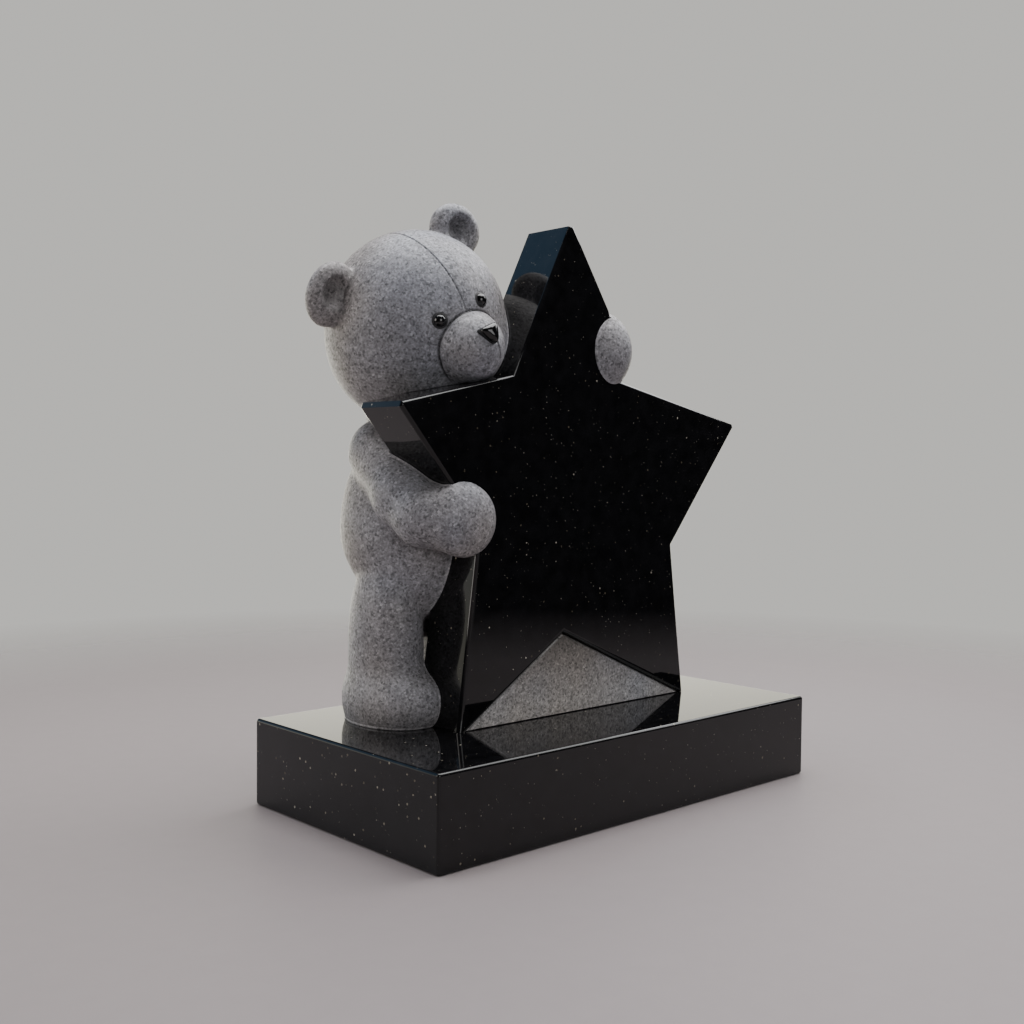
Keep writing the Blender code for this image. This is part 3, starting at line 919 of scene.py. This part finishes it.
def eye_profile():
    """A bead: a dome of the eye's radius over a shallow step, its back flat."""
    dome = np.linspace(0.02, math.radians(104), 26)
    radius = EYE_RADIUS * np.sin(dome)
    height = EYE_RADIUS * np.cos(dome)
    back = [(EYE_RADIUS * 0.7, -EYE_RADIUS * 0.6)]
    return np.concatenate((np.stack((radius, height), axis=1), back))


def nose_surface():
    """A rounded triangle, wide at the top. Its outline at angle a is 1 / (sum over its four
    sides of max(0, n . u(a))^p / d^p)^(1/p); from rim to middle it rises as a squared ellipse,
    (1 - s^3)^(1/2), with a soft ridge down its middle: depth - ridge * |x|."""
    a = np.linspace(0, 2 * math.pi, 120, endpoint=False)
    direction = np.stack((np.cos(a), np.sin(a)), axis=1)
    lean = math.radians(21)
    slant = (math.cos(lean), -math.sin(lean))
    sides = np.array(((0, 1), slant, (-slant[0], slant[1]), (0, -1)))
    across = 0.37 * NOSE_WIDTH
    reach = np.array((0.37 * NOSE_HEIGHT, across, across, 0.64 * NOSE_HEIGHT))
    facing = np.maximum(direction @ sides.T, 0) / reach
    power = 3.6
    rim = 1 / (facing**power).sum(axis=1) ** (1 / power)
    s = np.linspace(1, 0.002, 24) ** 0.6
    rise = np.sqrt(1 - np.minimum(s, 1) ** 3)
    flat = direction[None] * (rim * s[:, None])[..., None]
    front = 0.45 * NOSE_DEPTH + 0.55 * NOSE_DEPTH * rise[:, None]
    front = front - 0.18 * np.sqrt(flat[..., 0] ** 2 + (0.05 * NOSE_WIDTH) ** 2) * rise[:, None]
    foot = np.stack((direction[:, 0] * rim, np.zeros_like(rim), direction[:, 1] * rim), axis=1)
    rings = np.stack((flat[..., 0], np.broadcast_to(front, flat.shape[:2]), flat[..., 1]), axis=-1)
    rings = np.concatenate((foot[None], rings))
    tilt = np.array(Matrix.Rotation(NOSE_TILT, 3, "X"))
    return on_head(NOSE_PLACE) + rings @ (head_axes() @ tilt).T


# Stone finishes.

def new_material(name):
    material = bpy.data.materials.new(name)
    material.use_nodes = True
    tree = material.node_tree
    tree.nodes.clear()
    return material, tree


def add_node(tree, kind, **values):
    """A node with its sockets and settings given by name; a socket's spaces are underscores."""
    node = tree.nodes.new(kind)
    for name, value in values.items():
        socket = node.inputs.get(name.replace("_", " "))
        if socket is None:
            setattr(node, name, value)
        elif isinstance(value, bpy.types.NodeSocket):
            tree.links.new(value, socket)
        else:
            socket.default_value = value
    return node


def blend_colours(tree, share, first, second, mode="MIX"):
    """A colour mixed from two, each a socket or a colour, by a share that is a socket or number."""
    node = tree.nodes.new("ShaderNodeMix")
    node.data_type = "RGBA"
    node.blend_type = mode
    for index, value in ((0, share), (6, first), (7, second)):
        if isinstance(value, bpy.types.NodeSocket):
            tree.links.new(value, node.inputs[index])
        else:
            node.inputs[index].default_value = value
    return node.outputs[2]


def ranged(tree, value, low, high, to_low=0.0, to_high=1.0):
    """A value's range mapped to another, clamped."""
    node = add_node(tree, "ShaderNodeMapRange")
    tree.links.new(value, node.inputs["Value"])
    for name, number in (
        ("From Min", low), ("From Max", high), ("To Min", to_low), ("To Max", to_high),
    ):
        node.inputs[name].default_value = number
    return node.outputs["Result"]


def worked_out(tree, operation, *values):
    node = tree.nodes.new("ShaderNodeMath")
    node.operation = operation
    for index, value in enumerate(values):
        if isinstance(value, bpy.types.NodeSocket):
            tree.links.new(value, node.inputs[index])
        else:
            node.inputs[index].default_value = value
    return node.outputs[0]


def group_tree(name, inputs, outputs):
    """An empty shader group with its sockets, as (tree, input node, output node)."""
    tree = bpy.data.node_groups.new(name, "ShaderNodeTree")
    for socket_name, kind in inputs:
        tree.interface.new_socket(socket_name, in_out="INPUT", socket_type=kind)
    for socket_name, kind in outputs:
        tree.interface.new_socket(socket_name, in_out="OUTPUT", socket_type=kind)
    return tree, tree.nodes.new("NodeGroupInput"), tree.nodes.new("NodeGroupOutput")


def fleck_group():
    """Sparse mineral flecks: in cells of the given spacing, a blob about a random point, of a
    random size and brightness."""
    name = "mineral flecks"
    if name in bpy.data.node_groups:
        return bpy.data.node_groups[name]
    tree, given, result = group_tree(
        name,
        (("Vector", "NodeSocketVector"), ("Scale", "NodeSocketFloat"), ("Size", "NodeSocketFloat")),
        (("Mask", "NodeSocketFloat"), ("Tone", "NodeSocketFloat")),
    )
    warp = add_node(tree, "ShaderNodeTexNoise", Vector=given.outputs["Vector"], Scale=900.0)
    bent = add_node(tree, "ShaderNodeVectorMath", operation="MULTIPLY_ADD")
    tree.links.new(warp.outputs["Color"], bent.inputs[0])
    bent.inputs[1].default_value = (0.0011,) * 3
    tree.links.new(given.outputs["Vector"], bent.inputs[2])
    cells = add_node(
        tree, "ShaderNodeTexVoronoi", Vector=bent.outputs[0], Scale=given.outputs["Scale"],
        Randomness=1.0,
    )
    parts = add_node(tree, "ShaderNodeSeparateColor", Color=cells.outputs["Color"])
    chance = worked_out(tree, "POWER", parts.outputs[0], 2.2)
    radius = worked_out(tree, "MULTIPLY", chance, given.outputs["Size"])
    inside = worked_out(tree, "SUBTRACT", radius, cells.outputs["Distance"])
    mask = ranged(tree, inside, 0.0, 0.03)
    tree.links.new(mask, result.inputs["Mask"])
    tree.links.new(ranged(tree, parts.outputs[1], 0.0, 1.0, 0.12, 1.0), result.inputs["Tone"])
    return tree


def grain_group():
    """Crystals of three tones in a fine mosaic, with soft clouds of light and dark through it."""
    name = "granite grain"
    if name in bpy.data.node_groups:
        return bpy.data.node_groups[name]
    tree, given, result = group_tree(
        name,
        (("Vector", "NodeSocketVector"), ("Scale", "NodeSocketFloat")),
        (("Tone", "NodeSocketFloat"), ("Pit", "NodeSocketFloat")),
    )
    fine = add_node(
        tree, "ShaderNodeTexNoise", Vector=given.outputs["Vector"], Scale=given.outputs["Scale"],
        Detail=3.0, Roughness=0.62,
    )
    cells = add_node(
        tree, "ShaderNodeTexVoronoi", Vector=given.outputs["Vector"], Scale=given.outputs["Scale"],
        Randomness=1.0,
    )
    parts = add_node(tree, "ShaderNodeSeparateColor", Color=cells.outputs["Color"])
    dark = ranged(tree, parts.outputs[0], 0.10, 0.24, 1.0, 0.0)
    light = ranged(tree, parts.outputs[1], 0.80, 0.95, 0.0, 1.0)
    coarse_scale = worked_out(tree, "MULTIPLY", given.outputs["Scale"], 0.30)
    clouds = add_node(
        tree, "ShaderNodeTexNoise", Vector=given.outputs["Vector"], Scale=coarse_scale,
        Detail=2.0, Roughness=0.5,
    )
    tone = ranged(tree, fine.outputs["Fac"], 0.30, 0.70, 0.58, 1.42)
    cloud = ranged(tree, clouds.outputs["Fac"], 0.30, 0.70, 0.84, 1.16)
    tone = worked_out(tree, "MULTIPLY", tone, cloud)
    lower = worked_out(tree, "MULTIPLY_ADD", dark, -0.45, 1.0)
    raise_light = worked_out(tree, "MULTIPLY_ADD", light, 0.42, 1.0)
    tone = worked_out(tree, "MULTIPLY", tone, lower)
    tone = worked_out(tree, "MULTIPLY", tone, raise_light)
    tree.links.new(tone, result.inputs["Tone"])
    tree.links.new(dark, result.inputs["Pit"])
    return tree


def add_group(tree, group, **values):
    node = tree.nodes.new("ShaderNodeGroup")
    node.node_tree = group
    for name, value in values.items():
        socket = node.inputs[name]
        if isinstance(value, bpy.types.NodeSocket):
            tree.links.new(value, socket)
        else:
            socket.default_value = value
    return node


def polished_black():
    """Deep black polished granite with sparse pale and golden flecks."""
    name = "polished black granite"
    if name in bpy.data.materials:
        return bpy.data.materials[name]
    stone = bpy.context.scene.headstone_stone
    material, tree = new_material(name)
    place = add_node(tree, "ShaderNodeTexCoord").outputs["Object"]
    large = add_group(tree, fleck_group(), Vector=place, Scale=1 / stone.fleck_spacing, Size=0.155)
    turned_place = add_node(tree, "ShaderNodeMapping", Vector=place, Rotation=(0.5, 0.8, 0.3))
    small = add_group(
        tree, fleck_group(), Vector=turned_place.outputs[0], Scale=2.1 / stone.fleck_spacing,
        Size=0.17,
    )
    cloud = add_node(tree, "ShaderNodeTexNoise", Vector=place, Scale=60.0, Detail=5.0)
    depth = ranged(tree, cloud.outputs["Fac"], 0.35, 0.70, 0.6, 1.6)
    black = blend_colours(tree, 1.0, (*stone.black, 1.0), depth, "MULTIPLY")
    golden = blend_colours(
        tree, large.outputs["Tone"], (0.32, 0.27, 0.18, 1.0), (*stone.fleck, 1.0)
    )
    large_share = worked_out(tree, "MULTIPLY", large.outputs["Mask"], large.outputs["Tone"])
    small_share = worked_out(tree, "MULTIPLY", small.outputs["Mask"], small.outputs["Tone"])
    small_share = worked_out(tree, "MULTIPLY", small_share, 0.55)
    colour = blend_colours(tree, small_share, black, (*stone.fleck, 1.0))
    colour = blend_colours(tree, large_share, colour, golden)
    smudge = add_node(tree, "ShaderNodeTexNoise", Vector=place, Scale=9.0, Detail=3.0)
    rough = ranged(tree, smudge.outputs["Fac"], 0.4, 0.7, stone.polish, stone.polish + 0.02)
    shader = add_node(tree, "ShaderNodeBsdfPrincipled", Base_Color=colour, Roughness=rough)
    shader.inputs["IOR"].default_value = 1.46
    add_node(tree, "ShaderNodeOutputMaterial", Surface=shader.outputs[0])
    return material


def honed_grey(name, colour, grain, rough_low, rough_high, marked):
    """Grey granite ground to a satin: a mosaic of crystals, clouds of warmer and cooler stone;
    on the carving, painted shade in seams, eye sockets and ear hollows and a painted highlight on
    the lips against the black stone; on the insert, painted shade that darkens it towards its tip."""
    if name in bpy.data.materials:
        return bpy.data.materials[name]
    material, tree = new_material(name)
    place = add_node(tree, "ShaderNodeTexCoord").outputs["Object"]
    mosaic = add_group(tree, grain_group(), Vector=place, Scale=1 / grain)
    drift = add_node(tree, "ShaderNodeTexNoise", Vector=place, Scale=7.0, Detail=2.0)
    warm = tuple(value * factor for value, factor in zip(colour, (1.05, 0.99, 0.93)))
    cool = tuple(value * factor for value, factor in zip(colour, (0.96, 0.99, 1.06)))
    drifted = ranged(tree, drift.outputs["Fac"], 0.35, 0.65)
    ground = blend_colours(tree, drifted, (*warm, 1.0), (*cool, 1.0))
    tone = mosaic.outputs["Tone"]
    if marked:
        # Painted shade: seams, eye sockets and ear hollows darkened down to an eighth of the tone.
        cuts = add_node(tree, "ShaderNodeAttribute", attribute_name="worked").outputs["Fac"]
        cavity_shade_factor = ranged(tree, cuts, 0.05, 0.9, 1.0, 0.12)
        tone = worked_out(tree, "MULTIPLY", tone, cavity_shade_factor)
        # Painted highlight: the rolled lip against the black stone is lightened by up to a quarter.
        lip = add_node(tree, "ShaderNodeAttribute", attribute_name="lip").outputs["Fac"]
        tone = worked_out(tree, "MULTIPLY", tone, ranged(tree, lip, 0.0, 1.0, 1.0, 1.25))
    else:
        # Painted shade: the insert is a little lighter at its foot and darkens to under a third
        # towards its tip.
        height = add_node(tree, "ShaderNodeSeparateXYZ", Vector=place).outputs["Z"]
        fading = ranged(tree, height, BASE_TOP + 0.02, BASE_TOP + 0.09, 1.15, 0.30)
        tone = worked_out(tree, "MULTIPLY", tone, fading)
    shade = blend_colours(tree, 1.0, ground, tone, "MULTIPLY")
    rough = ranged(tree, mosaic.outputs["Pit"], 0.0, 1.0, rough_low, rough_high)
    height = worked_out(tree, "SUBTRACT", 1.0, mosaic.outputs["Pit"])
    bump = add_node(tree, "ShaderNodeBump", Strength=0.10, Distance=0.0004, Height=height)
    shader = add_node(
        tree, "ShaderNodeBsdfPrincipled", Base_Color=shade, Roughness=rough,
        Normal=bump.outputs[0],
    )
    shader.inputs["IOR"].default_value = 1.4
    add_node(tree, "ShaderNodeOutputMaterial", Surface=shader.outputs[0])
    return material


def carved_grey():
    stone = bpy.context.scene.headstone_stone
    return honed_grey("carved grey granite", stone.grey, stone.grain, stone.hone, 0.62, True)


def insert_grey():
    stone = bpy.context.scene.headstone_stone
    grain = 0.85 * stone.grain
    return honed_grey("grey granite of the insert", stone.insert, grain, 0.30, 0.5, False)


def glossy_black():
    """Black stone polished to a gloss, for eyes and nose, with faint cloudy depth."""
    name = "glossy black stone"
    if name in bpy.data.materials:
        return bpy.data.materials[name]
    material, tree = new_material(name)
    place = add_node(tree, "ShaderNodeTexCoord").outputs["Object"]
    cloud = add_node(tree, "ShaderNodeTexNoise", Vector=place, Scale=300.0, Detail=4.0)
    share = ranged(tree, cloud.outputs["Fac"], 0.45, 0.75)
    colour = blend_colours(tree, share, (0.0025, 0.0027, 0.0030, 1.0), (0.010, 0.010, 0.011, 1.0))
    rough = ranged(tree, cloud.outputs["Fac"], 0.3, 0.7, 0.04, 0.09)
    shader = add_node(tree, "ShaderNodeBsdfPrincipled", Base_Color=colour, Roughness=rough)
    shader.inputs["IOR"].default_value = 1.55
    add_node(tree, "ShaderNodeOutputMaterial", Surface=shader.outputs[0])
    return material


# Stage.

def floor_material(stage):
    """Plain pale floor that fades out into the backdrop far from the object."""
    material, tree = new_material("pale floor")
    place = add_node(tree, "ShaderNodeTexCoord").outputs["Object"]
    distance = add_node(tree, "ShaderNodeVectorMath", operation="LENGTH")
    tree.links.new(place, distance.inputs[0])
    reach = stage.floor_reach
    alpha = ranged(tree, distance.outputs["Value"], 0.55 * reach, reach, 1.0, 0.0)
    grain = add_node(tree, "ShaderNodeTexNoise", Vector=place, Scale=40.0, Detail=3.0)
    tone = ranged(tree, grain.outputs["Fac"], 0.3, 0.7, 0.985, 1.015)
    colour = blend_colours(tree, 1.0, (*stage.floor, 1.0), tone, "MULTIPLY")
    shader = add_node(
        tree, "ShaderNodeBsdfPrincipled", Base_Color=colour, Alpha=alpha, Roughness=0.6
    )
    add_node(tree, "ShaderNodeOutputMaterial", Surface=shader.outputs[0])
    return material


def add_floor(stage):
    """A flat round floor: point = reach * (cos a, sin a, 0)."""
    a = np.linspace(0, 2 * math.pi, 96, endpoint=False)
    rim = stage.floor_reach * np.stack((np.cos(a), np.sin(a), np.zeros_like(a)), axis=1)
    mesh = bpy.data.meshes.new("floor")
    mesh.from_pydata(rim, [], [list(range(len(a)))])
    floor = bpy.data.objects.new("floor", mesh)
    bpy.context.scene.collection.objects.link(floor)
    mesh.materials.append(floor_material(stage))


def add_soft_light(name, power):
    place, width, height, colour = LIGHTS[name]
    lamp = bpy.data.lights.new(name, "AREA")
    lamp.shape = "RECTANGLE"
    lamp.size = width
    lamp.size_y = height
    lamp.energy = power
    lamp.color = colour
    light = bpy.data.objects.new(name, lamp)
    light.location = place
    away = Vector(LIGHT_TARGET) - Vector(place)
    light.rotation_euler = away.to_track_quat("-Z", "Y").to_euler()
    bpy.context.scene.collection.objects.link(light)


def add_surroundings(stage):
    """A dim studio that brightens softly behind the object and has a blue part up behind its left
    side, and a plain backdrop to the eye."""
    world = bpy.data.worlds.new("studio")
    world.use_nodes = True
    tree = world.node_tree
    tree.nodes.clear()
    way = add_node(tree, "ShaderNodeTexCoord").outputs["Generated"]
    facing = []
    for direction in (BRIGHT_WAY, BLUE_WAY):
        dot = add_node(tree, "ShaderNodeVectorMath", operation="DOT_PRODUCT")
        tree.links.new(way, dot.inputs[0])
        dot.inputs[1].default_value = Vector(direction).normalized()
        facing.append(dot.outputs["Value"])
    parts = add_node(tree, "ShaderNodeSeparateXYZ", Vector=way)
    bright = ranged(tree, facing[0], 0.35, 0.95)
    low = ranged(tree, parts.outputs["Z"], 0.02, 0.42, 1.0, 0.0)
    share = worked_out(tree, "MULTIPLY", bright, low)
    blue = ranged(tree, facing[1], 0.86, 0.96)
    dim = blend_colours(tree, blue, DIM_STUDIO, BLUE_STUDIO)
    studio = blend_colours(tree, share, dim, BRIGHT_STUDIO)
    seen = add_node(tree, "ShaderNodeLightPath").outputs["Is Camera Ray"]
    colour = blend_colours(tree, seen, studio, (*stage.backdrop, 1.0))
    background = add_node(tree, "ShaderNodeBackground", Color=colour)
    add_node(tree, "ShaderNodeOutputWorld", Surface=background.outputs[0])
    bpy.context.scene.world = world


def add_camera():
    heading, pitch, roll = (
        math.radians(angle) for angle in (CAMERA_HEADING, CAMERA_PITCH, CAMERA_ROLL)
    )
    ahead = Vector(
        (math.sin(heading) * math.cos(pitch), math.cos(heading) * math.cos(pitch), math.sin(pitch))
    )
    right = Vector((math.cos(heading), -math.sin(heading), 0))
    up = right.cross(ahead)
    right, up = (
        right * math.cos(roll) + up * math.sin(roll),
        -right * math.sin(roll) + up * math.cos(roll),
    )
    view = Matrix((right, up, -ahead)).transposed().to_4x4()
    view.translation = Vector(CAMERA_PLACE)
    lens = bpy.data.cameras.new("camera")
    lens.sensor_width = 36.0
    lens.lens = lens.sensor_width * CAMERA_FOCAL_SHARE
    camera = bpy.data.objects.new("camera", lens)
    camera.matrix_world = view
    bpy.context.scene.collection.objects.link(camera)
    bpy.context.scene.camera = camera


# Operators.

class HEADSTONE_OT_stage(bpy.types.Operator):
    """Makes the floor, the soft lights, the surroundings and the camera"""

    bl_idname = "headstone.stage"
    bl_label = "Stage"

    def execute(self, context):
        stage = context.scene.headstone_stage
        add_floor(stage)
        add_surroundings(stage)
        for name in LIGHTS:
            add_soft_light(name, getattr(stage, name))
        add_camera()
        return {"FINISHED"}


class HEADSTONE_OT_base(bpy.types.Operator):
    """Makes the base: a polished block with rounded edges"""

    bl_idname = "headstone.base"
    bl_label = "Base"

    def execute(self, context):
        sizes = context.scene.headstone_sizes
        mesh = rounded_block("base_polished", BASE_LOW, BASE_HIGH, sizes.base_edge)
        piece = add_piece("base_polished", mesh, polished_black(), 40)
        finish_piece(piece, "base", "base")
        return {"FINISHED"}


class HEADSTONE_OT_star(bpy.types.Operator):
    """Makes the star: a polished slab with rounded edges and narrow feet"""

    bl_idname = "headstone.star"
    bl_label = "Star"

    def execute(self, context):
        edge = context.scene.headstone_sizes.star_edge
        names = list(STAR_CORNERS)
        feet = ("right foot outside", "left foot inside")
        widths = [0.0 if name in feet else edge for name in names]
        tips = np.array([name in STAR_CUT_TIPS for name in names])
        outline = star_outline(JOINT)
        mesh = edged_slab("star_polished", outline, tips, widths, edge, STAR_FRONT, STAR_BACK)
        piece = add_piece("star_polished", mesh, polished_black(), 40)
        finish_piece(piece, "star", "star")
        return {"FINISHED"}


class HEADSTONE_OT_insert(bpy.types.Operator):
    """Makes the insert: a grey triangle with rounded edges between the star's feet"""

    bl_idname = "headstone.insert"
    bl_label = "Insert"

    def execute(self, context):
        names = ("foot notch", "right foot inside", "left foot inside")
        corners = np.array([STAR_CORNERS[name] for name in names]) + (0, BASE_TOP)
        corners = inset_outline(corners, [JOINT] * 3)
        widths = (INSERT_BEVEL, INSERT_FOOT_BEVEL, INSERT_BEVEL)
        front = STAR_FRONT + INSERT_RECESS
        back = STAR_BACK - INSERT_RECESS
        tips = np.zeros(3, bool)
        mesh = edged_slab("insert_honed", corners, tips, widths, INSERT_BEVEL, front, back)
        piece = add_piece("insert_honed", mesh, insert_grey(), 40)
        finish_piece(piece, "insert", "insert")
        return {"FINISHED"}


class HEADSTONE_OT_bear(bpy.types.Operator):
    """Carves the bear: one grey stone with seams, eye sockets and lips against the black stone"""

    bl_idname = "headstone.bear"
    bl_label = "Bear"

    def execute(self, context):
        piece = add_piece("bear_carved", carve_bear(), carved_grey())
        piece.data.set_sharp_from_angle(angle=math.radians(65))
        finish_piece(piece, "bear", "bear")
        return {"FINISHED"}


class HEADSTONE_OT_eyes(bpy.types.Operator):
    """Makes the two eyes: glossy black beads set in their sockets"""

    bl_idname = "headstone.eyes"
    bl_label = "Eyes"

    def execute(self, context):
        for side, name in zip(EYE_SIDES, ("right_eye", "left_eye")):
            middle = eye_middle(side)
            out = middle - head_middle()
            out /= np.linalg.norm(out)
            mesh = closed_rings(name + "_bead", turned(middle, out, eye_profile()))
            piece = add_piece(name + "_bead", mesh, glossy_black(), 50)
            finish_piece(piece, "eyes", name)
        return {"FINISHED"}


class HEADSTONE_OT_nose(bpy.types.Operator):
    """Makes the nose: a glossy black rounded triangle with a soft ridge"""

    bl_idname = "headstone.nose"
    bl_label = "Nose"

    def execute(self, context):
        mesh = closed_rings("nose_polished", nose_surface())
        piece = add_piece("nose_polished", mesh, glossy_black(), 50)
        finish_piece(piece, "nose", "nose")
        return {"FINISHED"}


class HEADSTONE_PT_panel(bpy.types.Panel):
    """Buttons for each piece, with the sizes and colours they use"""

    bl_idname = "HEADSTONE_PT_panel"
    bl_label = "Headstone"
    bl_space_type = "VIEW_3D"
    bl_region_type = "UI"
    bl_category = "Headstone"

    def draw(self, context):
        column = self.layout.column()
        for operator in OPERATORS:
            column.operator(operator.bl_idname)
        for group in ("headstone_stone", "headstone_sizes", "headstone_stage"):
            settings = getattr(context.scene, group)
            column.separator()
            for name in settings.__annotations__:
                column.prop(settings, name)


GROUPS = (HeadstoneStone, HeadstoneSizes, HeadstoneStage)
OPERATORS = (
    HEADSTONE_OT_stage,
    HEADSTONE_OT_base,
    HEADSTONE_OT_star,
    HEADSTONE_OT_insert,
    HEADSTONE_OT_bear,
    HEADSTONE_OT_eyes,
    HEADSTONE_OT_nose,
)


def register():
    for kind in (*GROUPS, *OPERATORS, HEADSTONE_PT_panel):
        bpy.utils.register_class(kind)
    bpy.types.Scene.headstone_stone = PointerProperty(type=HeadstoneStone)
    bpy.types.Scene.headstone_sizes = PointerProperty(type=HeadstoneSizes)
    bpy.types.Scene.headstone_stage = PointerProperty(type=HeadstoneStage)


def unregister():
    for name in ("headstone_stone", "headstone_sizes", "headstone_stage"):
        delattr(bpy.types.Scene, name)
    for kind in reversed((*GROUPS, *OPERATORS, HEADSTONE_PT_panel)):
        bpy.utils.unregister_class(kind)


def main():
    register()
    bpy.ops.headstone.stage()
    bpy.ops.headstone.base()
    bpy.ops.headstone.star()
    bpy.ops.headstone.insert()
    bpy.ops.headstone.bear()
    bpy.ops.headstone.eyes()
    bpy.ops.headstone.nose()


if __name__ == "__main__":
    main()
